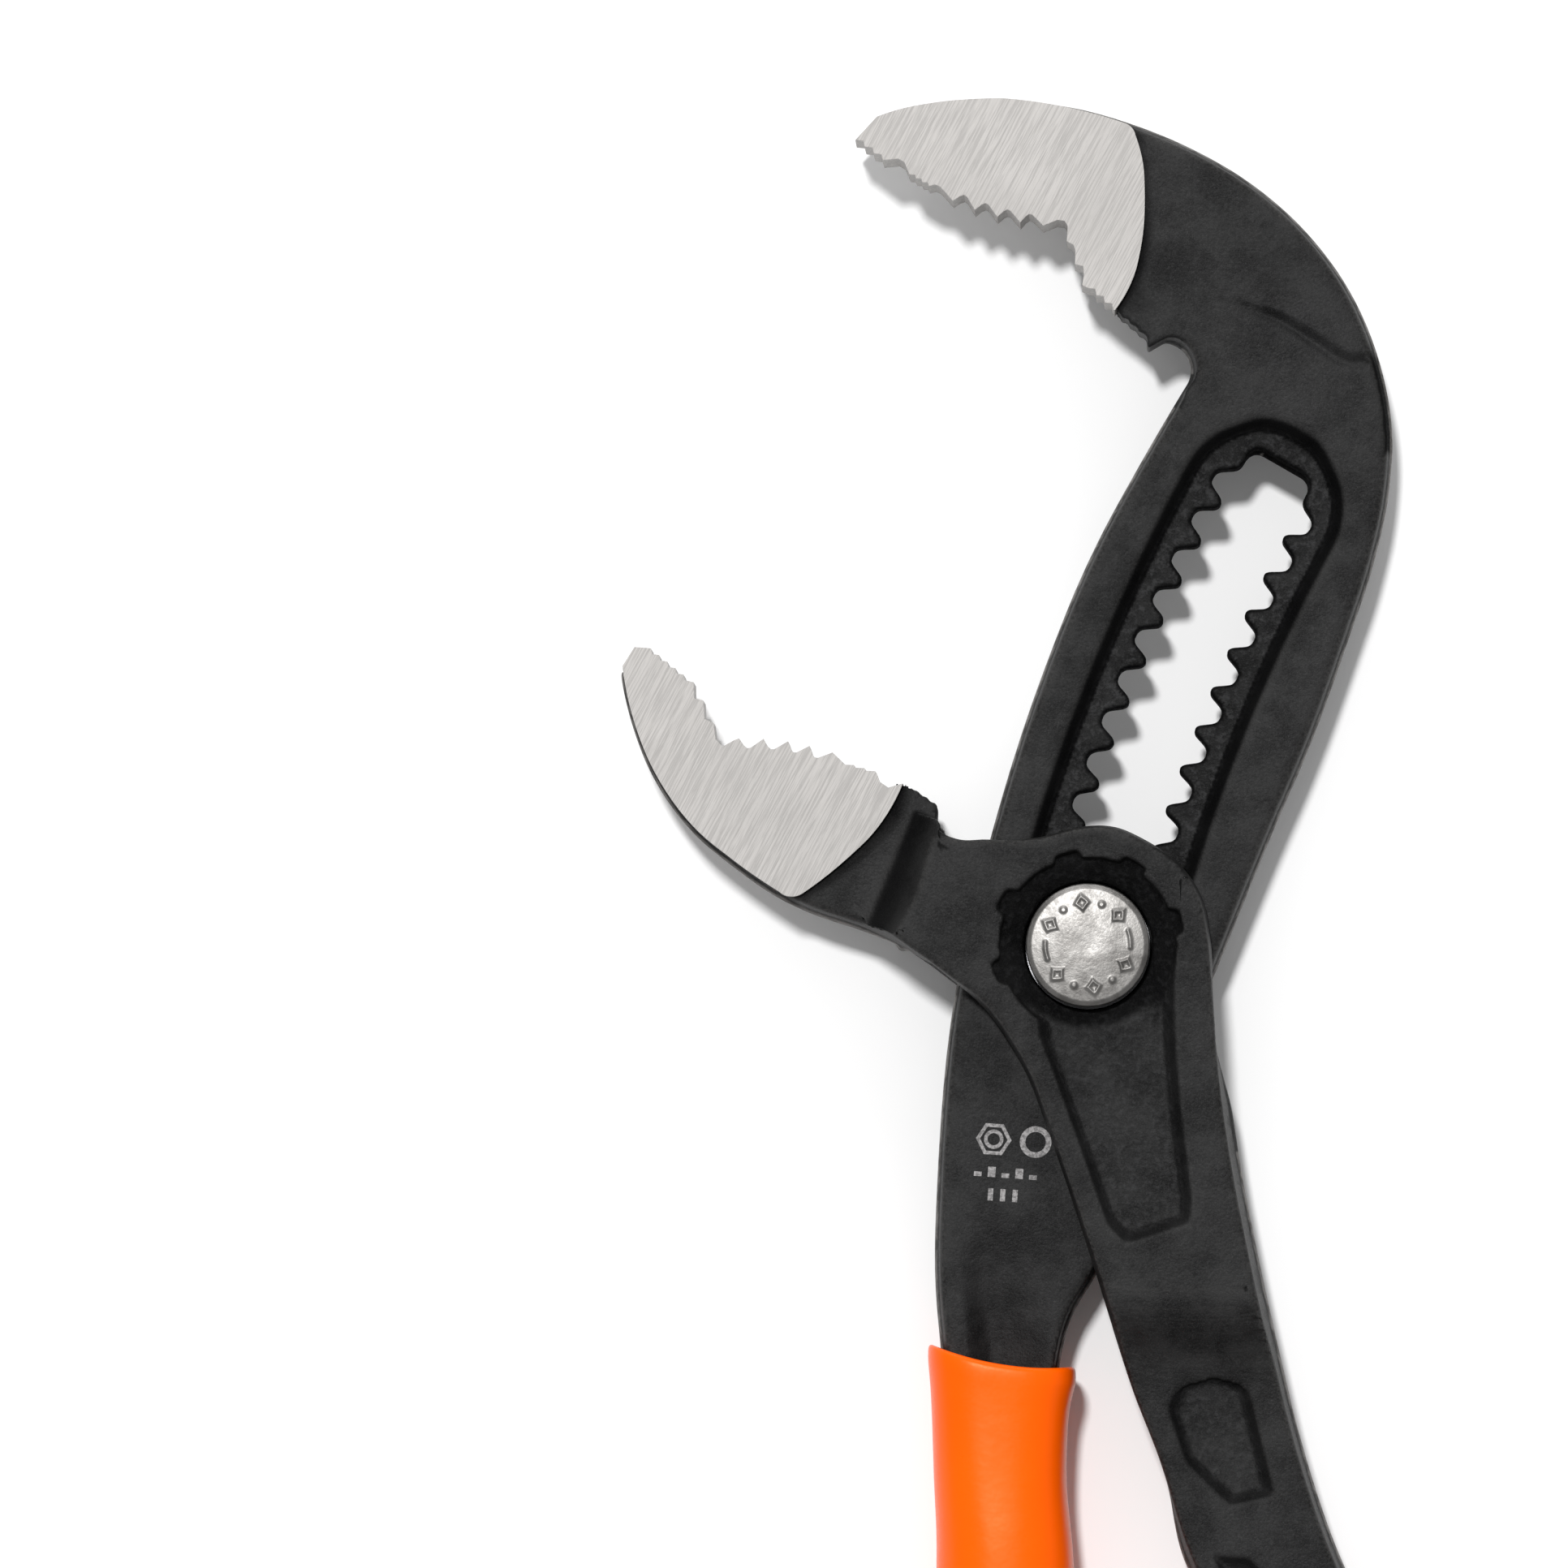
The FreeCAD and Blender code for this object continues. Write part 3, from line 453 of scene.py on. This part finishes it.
def bare_share(jaw, points):
    """For each point: 1 within or at the bright jaw, falling to 0 close by, and a wider share for painted
    shade.
    """
    low = np.array(jaw.bound_box).min(0) / MM - SHADE_REACH
    high = np.array(jaw.bound_box).max(0) / MM + SHADE_REACH
    tree = BVHTree.FromObject(jaw, bpy.context.evaluated_depsgraph_get())
    share = np.zeros(len(points))
    shade = np.zeros(len(points))
    for i in np.nonzero(np.all((points > low) & (points < high), axis=1))[0]:
        place = Vector(points[i]) * MM
        hit, normal, _, gap = tree.find_nearest(place)
        if (place - hit).dot(normal) < 0:
            share[i] = 1.0
        else:
            share[i] = max(0.0, 1 - gap / (BARE_REACH * MM))
            shade[i] = max(0.0, 1 - gap / (SHADE_REACH * MM))
    return share, shade


def outer_walls(node, points, normals, inner):
    """Which points lie on the outer walls: off the faces, facing no other wall, and not inner."""
    tree = BVHTree.FromObject(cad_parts[node], bpy.context.evaluated_depsgraph_get())
    walls = (np.hypot(normals[:, 0], normals[:, 1]) > 0.7) & ~inner(points)
    for i in np.nonzero(walls)[0]:
        way = Vector((normals[i, 0], normals[i, 1], 0)).normalized()
        start = Vector(points[i]) * MM + way * (RAY_START * MM)
        if tree.ray_cast(start, way, RAY * MM)[0] is not None:
            walls[i] = False
    return walls


def drafted(points, normals, walls, kept, ends, corners):
    """The outer walls leant in above and below a trimmed flash line, and how far each point is trimmed.

    The flash line fades out at the ends given, and the draft itself at the corners given.
    """
    x, y = points[:, 0], points[:, 1]
    level = np.abs(points[:, 2] - MID)
    edge = level + 0.1 * np.sin(y * 1.9) + 0.07 * np.sin(x * 4.3 + y * 3.1)
    inset = DRAFT * np.minimum(level, DRAFT_HEIGHT)
    inset += FLASH_STEP * spread(FLASH_HALF - 0.15, FLASH_HALF + 0.25, edge)
    near = np.zeros(len(points))
    for end_x, end_y in ends:
        near = np.maximum(near, 1 - spread(0.5, 9.0, np.hypot(x - end_x, y - end_y)))
    inset += (DRAFT_HEIGHT * DRAFT + FLASH_STEP - inset) * near
    places = np.nonzero(walls)[0]
    tree = KDTree(len(places))
    for i in places:
        tree.insert((x[i], y[i], 0), int(i))
    tree.balance()
    nearest = np.zeros(len(points), int)
    gaps = np.full(len(points), 99.0)
    for i in np.nonzero((level > 0.4) | (near > 0))[0]:
        _, nearest[i], gaps[i] = tree.find((x[i], y[i], 0))
    way = normals[nearest, :2]
    way /= np.maximum(np.hypot(way[:, 0], way[:, 1]), 1e-6)[:, None]
    share = (1 - spread(0.4, RIM_WIDTH, gaps)) * kept
    for corner_x, corner_y in corners:
        share *= spread(0.5, 8.0, np.hypot(x - corner_x, y - corner_y))
    points[:, :2] -= way * (inset * share)[:, None]
    flash = 1 - spread(FLASH_HALF - 0.1, FLASH_HALF + 0.2, edge)
    return points, walls * flash * kept * (1 - near)


def forging(name, node, body, jaw, inner, weights, shape, masks, ends=(), corners=()):
    """A forged arm: the CAD solid with worn edges and drafted walls, and its jaw left to the bright piece.

    inner, weights, shape and masks are the arm's own functions of its points; masks gives painted shade and
    roughness.
    """
    mesh = applied(cad_mesh(node), ("REMESH", {"mode": "VOXEL", "voxel_size": VOXEL * MM}))
    mesh, sharp = worn_solid(mesh, weights)
    points = coordinates(mesh) / MM
    wear = np.clip(np.linalg.norm(sharp - points, axis=1) / WEAR_FULL, 0, 1)
    normals = np.empty(len(mesh.vertices) * 3, np.float32)
    mesh.vertex_normals.foreach_get("vector", normals)
    normals = normals.reshape(-1, 3).astype(float)
    bare, shade = bare_share(jaw, points)
    painted_shade, rough = masks(points, normals)
    # Painted shade beside the bright jaw, on top of the arm's own painted shade.
    painted_shade = np.maximum(painted_shade, 0.9 * shade)
    walls = outer_walls(node, points, normals, inner)
    points -= normals * (JAW_INSET * bare)[:, None]
    points, trimmed = drafted(points, normals, walls, 1 - bare, ends, corners)
    put_coordinates(mesh, shape(points, normals) * MM)
    worn = wear * (bare < 0.1) * (1 - painted_shade)
    layers = {"worn": worn, "painted_shade": painted_shade, "rough": rough, "trimmed": trimmed}
    for attribute, values in layers.items():
        layer = mesh.attributes.new(attribute, "FLOAT", "POINT")
        layer.data.foreach_set("value", values.astype(np.float32))
    share = FACES_KEPT / (2 * len(mesh.polygons))
    if share < 1:
        mesh = applied(mesh, ("DECIMATE", {"ratio": share}))
    shade_smooth(mesh)
    piece = link(name, mesh, FORGED, body)
    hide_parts(node)


SLOT_CENTRE = (178.5, -44.9)
SLOT_RADIUS = 184.05
# The slotted arm's web, at the bottom of the slot's channel, lies this close to the middle.
WEB_HALF = 2.35
CREASE = smooth_route([
    (12.5, 63.6), (15.9, 62.6), (19.1, 61.35), (22.4, 59.3), (25.0, 57.6), (26.9, 57.3),
])
CREASE_DEPTH = 0.34
CREASE_SWELL = 0.18
HOLLOW_DEPTH = 1.25
# Outlines round each arm's teeth, which stay sharp.
UPPER_TEETH = [
    (-26.0, 82.0), (6.0, 73.0), (6.0, 61.0), (8.4, 60.6), (11.5, 53.0), (2.0, 53.0), (-26.0, 70.0),
]
LOWER_TEETH = [
    (-46.5, 29.0), (-40.0, 36.0), (-12.5, 22.0), (-12.5, 10.8), (-15.4, 10.8), (-26.0, 16.5),
    (-40.0, 17.5),
]


def slotted_inner(points):
    """The teeth."""
    return inside(points, UPPER_TEETH)


def slotted_weights(points):
    """How much wear each point takes: none on the teeth and little on the web."""
    web = np.abs(points[:, 2] - MID) < WEB_HALF
    return np.where(inside(points, UPPER_TEETH), 0.0, np.where(web, 0.2, 1.0))


def slotted_shape(points, normals):
    """A crease across the shoulder of the jaw, and a hollow beside the rim above the grip."""
    side = np.sign(points[:, 2] - MID)
    level = np.abs(points[:, 2] - MID)
    flat = np.abs(normals[:, 2]) * spread(2.6, 3.0, level)
    gap, along, turn = polyline_distance(points[:, :2], CREASE)
    raised = CREASE_SWELL * np.exp(-gap / 5.0) * spread(-0.3, 0.3, turn * gap)
    groove = CREASE_DEPTH * np.exp(-((gap - 0.1) / (0.3 + 0.25 * along)) ** 2)
    level += flat * (raised - groove) * spread(0.0, 0.5, along)
    x, y = points[:, 0], points[:, 1]
    rim = -13.0 + 0.09 * np.maximum(-28.0 - y, 0)
    hollow = spread(-25.5, -40.0, y) * spread(0.0, 2.6, x - rim) * (1 - spread(2.6, 9.5, x - rim))
    level -= HOLLOW_DEPTH * hollow * flat
    points[:, 2] = MID + side * level
    return points


def slotted_masks(points, normals):
    """The slot's channel: painted shade on its walls and a little on its floor, and its floor is rough."""
    x, y = points[:, 0], points[:, 1]
    off_middle = np.abs(points[:, 2] - MID)
    off_slot = np.abs(np.hypot(x - SLOT_CENTRE[0], y - SLOT_CENTRE[1]) - SLOT_RADIUS)
    near = (1 - spread(8.3, 8.8, off_slot)) * spread(-12.0, -9.5, y) * (1 - spread(57.0, 60.0, y))
    # Painted shade in the channel, less on its floor.
    painted_shade = near * (1 - spread(3.15, 3.39, off_middle))
    floor = spread(0.93, 0.99, np.abs(normals[:, 2])) * (1 - spread(2.15, 2.5, off_middle))
    return painted_shade * (1 - 0.85 * floor), near * (1 - spread(2.2, 2.6, off_middle))


# Outlines round the button arm's recesses: the button's, the handle's and the tang's.
JOINT_AREA = [
    (-6.2, 9.5), (10.6, 10.6), (11.0, -26.0), (10.6, -28.4), (3.4, -30.5), (0.6, -28.4),
    (-6.0, -10.0), (-10.8, 3.0),
]
HANDLE_AREA = [
    (12.3, -40.6), (16.3, -41.6), (19.2, -54.5), (13.4, -55.6), (8.2, -50.4), (6.6, -45.0),
    (8.4, -41.6),
]
TANG_AREA = [
    (10.8, -58.4), (16.0, -58.6), (21.6, -64.2), (24.0, -71.5), (19.0, -73.3), (14.3, -66.7),
]
# The direction of the ramp between the jaw's face and the cheek.
RAMP_WAY = (0.373, 0.928)
# The window between the cheeks, which the slotted arm passes through.
WINDOW_AREA = [
    (-15.0, 20.0), (-15.0, 0.0), (-26.0, -14.0), (-6.5, -55.0), (6.6, -51.5), (9.0, -34.5),
    (12.0, -19.0), (14.5, -20.0), (24.0, -20.0), (30.0, 24.0),
]
WINDOW_HALF = 3.9
RECESS_REACH = 10.4
NUBS = [(-18.3, -0.1), (3.2, -42.3)]
NUB_HEIGHT = 0.45
# Where the window runs out through the outer wall, and the inner corners that stay undrafted.
WINDOW_ENDS = [(14.0, -7.8), (6.8, -51.5)]
RAMP_CORNERS = [(-15.6, -1.6), (-11.9, 9.8)]


def button_inner(points):
    """The teeth and the window's walls between the cheeks."""
    between = inside(points, WINDOW_AREA) & (np.abs(points[:, 2] - MID) < WINDOW_HALF)
    return inside(points, LOWER_TEETH) | between


def button_weights(points):
    """How much wear each point takes: none on the teeth and little in the recesses."""
    off_middle = np.abs(points[:, 2] - MID)
    fine = np.zeros(len(points), bool)
    for area, lowest in ((JOINT_AREA, 5.5), (HANDLE_AREA, 3.5), (TANG_AREA, 3.5)):
        fine |= inside(points, area) & (off_middle > lowest)
    fine |= np.hypot(points[:, 0], points[:, 1]) < RECESS_REACH
    return np.where(inside(points, LOWER_TEETH), 0.0, np.where(fine, 0.2, 1.0))


def button_shape(points, normals):
    """Two nubs of flash left on the outer edge."""
    for nub in NUBS:
        gap = np.linalg.norm(points - (*nub, MID), axis=1)
        points[:, :2] += normals[:, :2] * (NUB_HEIGHT * np.exp(-(gap / 0.5) ** 2))[:, None]
    return points


def button_masks(points, normals):
    """Painted shade in the button's recess, down the ramp and on the walls of the other recesses; the
    recesses are rough.
    """
    off_middle = np.abs(points[:, 2] - MID)
    radius = np.hypot(points[:, 0], points[:, 1])
    tilted = 1 - spread(0.80, 0.97, np.abs(normals[:, 2]))
    # Less painted shade on the floor below the button.
    floor = spread(-5.0, -7.0, points[:, 1]) * spread(7.5, 8.5, radius)
    # Painted shade in the gear-shaped recess round the button.
    gear = 0.78 * (radius < 10.0) * (1 - spread(7.2, 8.1, off_middle)) * (1 - floor)
    walls = np.zeros(len(points))
    rough = gear
    # Painted shade on the recesses' walls, and rough floors in them.
    for area, face in ((JOINT_AREA, CHEEK_HALF), (HANDLE_AREA, HANDLE_HALF), (TANG_AREA, HANDLE_HALF)):
        within = inside(points, area) & (off_middle > face - 1.5)
        walls = np.maximum(walls, 0.5 * within * tilted)
        sunk = 1 - spread(face - 0.9, face - 0.5, off_middle)
        rough = np.maximum(rough, 0.5 * within * sunk)
    # Painted shade down the ramp between the jaw's face and the cheek.
    across = points[:, 0] * RAMP_WAY[1] - points[:, 1] * RAMP_WAY[0]
    along = points[:, 0] * RAMP_WAY[0] + points[:, 1] * RAMP_WAY[1]
    ramp = spread(-22.4, -20.8, across) * (1 - spread(-20.6, -17.4, across))
    ramp *= spread(-8.5, -5.5, along) * (1 - spread(6.5, 9.0, along))
    ramp *= spread(0.2, 0.5, np.abs(normals[:, 2])) * spread(3.4, 3.8, off_middle)
    return np.maximum(np.maximum(gear, walls), 0.85 * ramp), rough


forging("slotted_arm_forging", "slotted_arm", "slotted_arm", upper_jaw,
        slotted_inner, slotted_weights, slotted_shape, slotted_masks)
forging("button_arm_forging", "button_arm", "button_arm", lower_jaw,
        button_inner, button_weights, button_shape, button_masks, WINDOW_ENDS, RAMP_CORNERS)

# ---------------------------------------------------------------- etched mark

ETCH_TOP = 11.63
ETCH_THICK = 0.1
ETCH_TURN = math.radians(-4.0)
ETCH_PLACE = (-8.2, -21.5)


def etched_mark():
    """A generic pale mark on the slotted arm: a nut, a pipe end and a row of bars, and no lettering."""
    work = bmesh.new()

    def strip(outer, inner):
        count = len(outer)
        tops = [[work.verts.new((x * MM, y * MM, 0)) for x, y in ring] for ring in (outer, inner)]
        for i in range(count):
            after = (i + 1) % count
            work.faces.new((tops[0][i], tops[0][after], tops[1][after], tops[1][i]))

    def ring(x, y, outer, inner, sides):
        rings = []
        for radius in (outer, inner):
            angles = [2 * math.pi * i / sides for i in range(sides)]
            rings.append([(x + radius * math.cos(a), y + radius * math.sin(a)) for a in angles])
        strip(*rings)

    def bar(x, y, wide, tall):
        corners = [(x, y), (x + wide, y), (x + wide, y + tall), (x, y + tall)]
        work.faces.new([work.verts.new((a * MM, b * MM, 0)) for a, b in corners])

    ring(-1.2, 2.6, 1.75, 1.35, 6)
    ring(-1.2, 2.6, 0.95, 0.6, 32)
    ring(2.9, 2.6, 1.55, 1.0, 40)
    for i in range(5):
        bar(-2.9 + 1.35 * i, -1.1, 0.75, 1.0 if i % 2 else 0.45)
    for i in range(3):
        bar(-1.4 + 1.2 * i, -3.4, 0.5, 1.2)
    made = bmesh.ops.extrude_face_region(work, geom=list(work.faces))
    lifted = [v for v in made["geom"] if isinstance(v, bmesh.types.BMVert)]
    bmesh.ops.translate(work, verts=lifted, vec=(0, 0, -ETCH_THICK * MM))
    bmesh.ops.recalc_face_normals(work, faces=work.faces)
    place = Matrix.Translation((ETCH_PLACE[0] * MM, ETCH_PLACE[1] * MM, ETCH_TOP * MM))
    bmesh.ops.transform(work, matrix=place @ Matrix.Rotation(ETCH_TURN, 4, "Z"), verts=work.verts)
    mesh = bpy.data.meshes.new("etched_mark")
    work.to_mesh(mesh)
    work.free()
    link("etched_mark", mesh, ETCHED, "slotted_arm")


etched_mark()

# ---------------------------------------------------------------- grips

RING_POINTS = 56
GRIP_HALF = 7.0
LIP_HALF = 6.55
# Each section: height, left and right edge, and share of the full half thickness.
SLOTTED_GRIP = [
    (-45.0, -15.4, -1.9, 0.93), (-52.0, -15.15, -2.1, 0.95), (-61.0, -14.9, -1.4, 1.0),
    (-76.0, -15.8, -1.3, 1.0), (-94.0, -18.1, -2.7, 1.0), (-118.0, -21.7, -5.6, 1.0),
    (-142.0, -26.0, -9.5, 1.0), (-158.0, -28.5, -12.2, 1.0), (-165.0, -28.8, -13.4, 0.97),
    (-169.5, -27.8, -15.4, 0.84), (-171.8, -26.0, -17.9, 0.62), (-172.7, -23.5, -20.6, 0.25),
]
BUTTON_GRIP = [
    (-80.0, 17.9, 33.2, 0.95), (-86.0, 20.3, 35.3, 0.98), (-94.0, 22.6, 37.8, 1.0),
    (-117.0, 27.9, 43.2, 1.0), (-142.0, 31.4, 47.2, 1.0), (-168.0, 32.6, 48.8, 1.0),
    (-183.0, 32.2, 48.4, 1.0), (-190.0, 32.9, 47.4, 0.97), (-194.0, 34.4, 45.6, 0.84),
    (-196.0, 36.4, 43.6, 0.62), (-196.7, 38.8, 41.2, 0.25),
]
# The lip from its outer wall over its edge and in to the arm: inset from the wall, and height.
LIP = [(0.0, -1.6), (0.0, -0.7), (0.06, -0.28), (0.24, -0.06), (0.5, 0.0), (0.8, -0.05)]
LIP_SAG = 0.95


def superellipse(centre, half_x, half_z, power):
    """Points round a section, rounder for a power near 2 and squarer for a higher one."""
    ring = []
    for i in range(RING_POINTS):
        turn = 2 * math.pi * i / RING_POINTS
        c, s = math.cos(turn), math.sin(turn)
        ring.append((centre + half_x * math.copysign(abs(c) ** (2 / power), c),
                     half_z * math.copysign(abs(s) ** (2 / power), s)))
    return ring


def grip(name, node, body, sections, lip_left, lip_right, arm_left, arm_right, arm_half):
    """A dipped sleeve: a rolled lip cut at a slant, a long swelling body and a round heel.

    lip_left and lip_right are the lip's two ends. arm_left, arm_right and arm_half are the arm's
    edges and half thickness where it enters the sleeve.
    """
    slope = (lip_right[1] - lip_left[1]) / (lip_right[0] - lip_left[0])
    lip_middle = (lip_left[0] + lip_right[0]) / 2
    lip_half = (lip_right[0] - lip_left[0]) / 2
    lip_height = (lip_left[1] + lip_right[1]) / 2
    arm_middle = (arm_left + arm_right) / 2
    arm_width = (arm_right - arm_left) / 2

    def slanted(ring, height, lean=1.0):
        """A section in place, tipped and sagging like the lip by the share lean."""
        placed = []
        for x, z in ring:
            sag = LIP_SAG * (1 - ((x - lip_middle) / lip_half) ** 2)
            placed.append((x, height + lean * (slope * (x - lip_middle) - sag), MID + z))
        return placed

    rings = []
    for wider, deeper, power, drop in ((-0.3, -0.3, 7, 3.0), (0.05, 0.05, 7, 0.75), (0.35, 0.4, 6, 0.4)):
        ring = superellipse(arm_middle, arm_width + wider, arm_half + deeper, power)
        rings.append(slanted(ring, lip_height - drop))
    for inset, height in reversed(LIP):
        ring = superellipse(lip_middle, lip_half - inset, LIP_HALF - inset, 3.1)
        rings.append(slanted(ring, lip_height + height))
    first = (lip_height - 1.6, lip_left[0], lip_right[0], LIP_HALF / GRIP_HALF)
    for height, left, right, share in smooth_route([first, *sections], 7)[1:]:
        lean = max(0.0, 1 - (lip_height - height) / 22.0)
        ring = superellipse((left + right) / 2, (right - left) / 2, GRIP_HALF * share, 2.45 + 0.65 * lean)
        rings.append(slanted(ring, height, lean))
    work = bmesh.new()
    rows = [[work.verts.new([c * MM for c in p]) for p in ring] for ring in rings]
    for upper, lower in zip(rows, rows[1:]):
        for i in range(RING_POINTS):
            after = (i + 1) % RING_POINTS
            work.faces.new((upper[i], upper[after], lower[after], lower[i]))
    work.faces.new(rows[-1])
    work.faces.new(reversed(rows[0]))
    bmesh.ops.recalc_face_normals(work, faces=work.faces)
    mesh = bpy.data.meshes.new(name)
    work.to_mesh(mesh)
    work.free()
    mesh = applied(mesh, ("SUBSURF", {"levels": 1}))
    shade_smooth(mesh)
    piece = link(name, mesh, VINYL, body)
    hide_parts(node)


grip("slotted_grip_vinyl", "slotted_arm_grip", "slotted_arm", SLOTTED_GRIP,
     (-15.7, -38.7), (-1.2, -41.0), -14.35, -2.75, 3.4)
grip("button_grip_vinyl", "button_arm_grip", "button_arm", BUTTON_GRIP,
     (15.2, -76.8), (30.9, -72.2), 17.1, 29.7, 5.4)

# ---------------------------------------------------------------- button and pin

MARK_RADIUS = 4.15
MARK_STEP = 27.0
MARK_RELIEF = 0.16
STROKE = 0.19
CAP_RADIUS = 6.0
CAP_SPOKES = 480


def mark_height(radius, turn):
    """Raised generic marks in a ring: diamonds and dots in two groups, with a dash between the groups."""
    up = radius - MARK_RADIUS
    height = np.zeros_like(radius)
    for half in (0, 180):
        for i in range(-2, 3):
            middle = math.radians(98 + half + i * MARK_STEP)
            across = np.angle(np.exp(1j * (turn - middle))) * MARK_RADIUS
            if i % 2:
                stroke = np.maximum(np.hypot(across, up) - 0.14, 0)
            else:
                stroke = np.abs(np.abs(across) * 1.1 + np.abs(up) - 0.62) * 0.7
            height = np.maximum(height, np.exp(-(stroke / STROKE) ** 2))
        across = np.angle(np.exp(1j * (turn - math.radians(8 + half)))) * MARK_RADIUS
        stroke = np.hypot(np.maximum(np.abs(across) - 0.85, 0), up)
        height = np.maximum(height, np.exp(-(stroke / STROKE) ** 2))
    return height


def crown_height(radius):
    """The button's face: a low dome with a shallow dimple, and a chamfer."""
    dome = 17.42 - 0.36 * (radius / 5.4) ** 2 - 0.07 * np.exp(-(radius / 1.2) ** 2)
    chamfer = spread(5.45, CAP_RADIUS, radius)
    return dome - 0.28 * chamfer


def button():
    """The pressed cap, with its ring of marks as real relief and its hollow for the spring."""
    rim = [5.92, 5.96, 5.99, CAP_RADIUS]
    radii = np.concatenate([np.linspace(0.05, 5.15, 120), np.linspace(5.2, 5.88, 12), rim])
    turns = np.arange(CAP_SPOKES) * 2 * math.pi / CAP_SPOKES
    radius, turn = np.meshgrid(radii, turns, indexing="ij")
    height = crown_height(radius) + MARK_RELIEF * mark_height(radius, turn)
    height += 0.012 * np.sin(3 * turn + 1.1) * spread(1.0, 5.0, radius)
    height[-4:] -= np.array([0.02, 0.06, 0.14, 0.3])[:, None]
    outlines = list(zip(radii, height))
    # Down the skirt, up into the hollow for the spring and down its boss: radius and height.
    skirt = [(CAP_RADIUS, 15.2), (CAP_RADIUS, 14.1), (5.9, 13.95), (5.7, 13.9), (5.4, 13.9), (5.25, 14.0),
             (5.2, 14.2), (5.2, 16.45), (3.8, 16.45), (3.8, 14.3), (3.7, 14.2), (0.3, 14.2)]
    outlines += [(r, np.full(CAP_SPOKES, h)) for r, h in skirt]
    work = bmesh.new()
    rows = []
    for r, heights in outlines:
        rows.append([work.verts.new((r * math.cos(t) * MM, r * math.sin(t) * MM, h * MM))
                     for t, h in zip(turns, heights)])
    for upper, lower in zip(rows, rows[1:]):
        for i in range(CAP_SPOKES):
            after = (i + 1) % CAP_SPOKES
            work.faces.new((upper[i], lower[i], lower[after], upper[after]))
    work.faces.new(rows[0])
    work.faces.new(list(reversed(rows[-1])))
    bmesh.ops.recalc_face_normals(work, faces=work.faces)
    mesh = bpy.data.meshes.new("button_face")
    work.to_mesh(mesh)
    work.free()
    shade_smooth(mesh, 40)
    piece = link("button_face", mesh, BUTTON_STEEL, "lock_pin")
    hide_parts("button_cap")


button()


def return_spring():
    """The coil inside the button, kept rigid here, though the real one shortens onto its washer as the
    button goes in.
    """
    mesh = cad_mesh("button_spring")
    shade_smooth(mesh, 40)
    heights = coordinates(mesh)[:, 2]
    piece = link("return_spring", mesh, SPRING_STEEL, "pivot_seat")
    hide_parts("button_spring")
    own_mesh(piece)


return_spring()

for node, material in (("lock_pin", PIN_STEEL), ("pin_retaining_ring", SPRING_STEEL),
                       ("spring_washer", SPRING_STEEL)):
    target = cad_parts[node]
    target.data.materials.clear()
    target.data.materials.append(material)

# ---------------------------------------------------------------- floor, light and camera
# Places here are in metres.

FLOOR_HALF = 3.0
WORLD_STRENGTH = 0.46
CAMERA_LENS = 311
CAMERA_PLACE = (0.001, -0.0426, 1.336)
CAMERA_AIM = (-0.0298, 0.0161, MID * MM)


def backdrop():
    """A pale floor just under the tool."""
    mesh = bpy.data.meshes.new("floor")
    corners = [(FLOOR_HALF * x, FLOOR_HALF * y, 0) for x, y in ((-1, -1), (1, -1), (1, 1), (-1, 1))]
    mesh.from_pydata(corners, [], [(0, 1, 2, 3)])
    floor = bpy.data.objects.new("floor", mesh)
    floor.location.z = -0.05 * MM
    scene.collection.objects.link(floor)
    material, shader = new_material("pale_floor")
    shader.inputs["Base Color"].default_value = (0.9, 0.9, 0.9, 1)
    shader.inputs["Roughness"].default_value = 0.9
    mesh.materials.append(material)


def lamp(name, kind, energy, place, aim, **settings):
    """A light at a place, turned to its aim."""
    data = bpy.data.lights.new(name, kind)
    data.energy = energy
    for setting, value in settings.items():
        setattr(data, setting, value)
    light = bpy.data.objects.new(name, data)
    scene.collection.objects.link(light)
    light.location = place
    light.rotation_euler = (Vector(aim) - Vector(place)).to_track_quat("-Z", "Y").to_euler()


backdrop()
lamp("key", "SUN", 2.5, (-0.14, 0.34, 1.22), (0, 0, 0), angle=math.radians(5.5))
lamp("top_panel", "AREA", 7.0, (-0.1, 1.25, 0.42), (0, 0, 0.01),
     shape="RECTANGLE", size=1.4, size_y=0.5)
world = bpy.data.worlds.new("studio")
world.use_nodes = True
world.node_tree.nodes["Background"].inputs["Color"].default_value = (1, 1, 1, 1)
world.node_tree.nodes["Background"].inputs["Strength"].default_value = WORLD_STRENGTH
scene.world = world
scene.view_settings.view_transform = "Standard"

camera_data = bpy.data.cameras.new("camera")
camera_data.lens = CAMERA_LENS
camera_data.sensor_width = 36
camera_data.clip_end = 20
camera = bpy.data.objects.new("camera", camera_data)
scene.collection.objects.link(camera)
camera.location = CAMERA_PLACE
back = (camera.location - Vector(CAMERA_AIM)).normalized()
right = Vector((0, 1, 0)).cross(back).normalized()
camera.rotation_euler = Matrix((right, back.cross(right), back)).transposed().to_euler()
scene.camera = camera
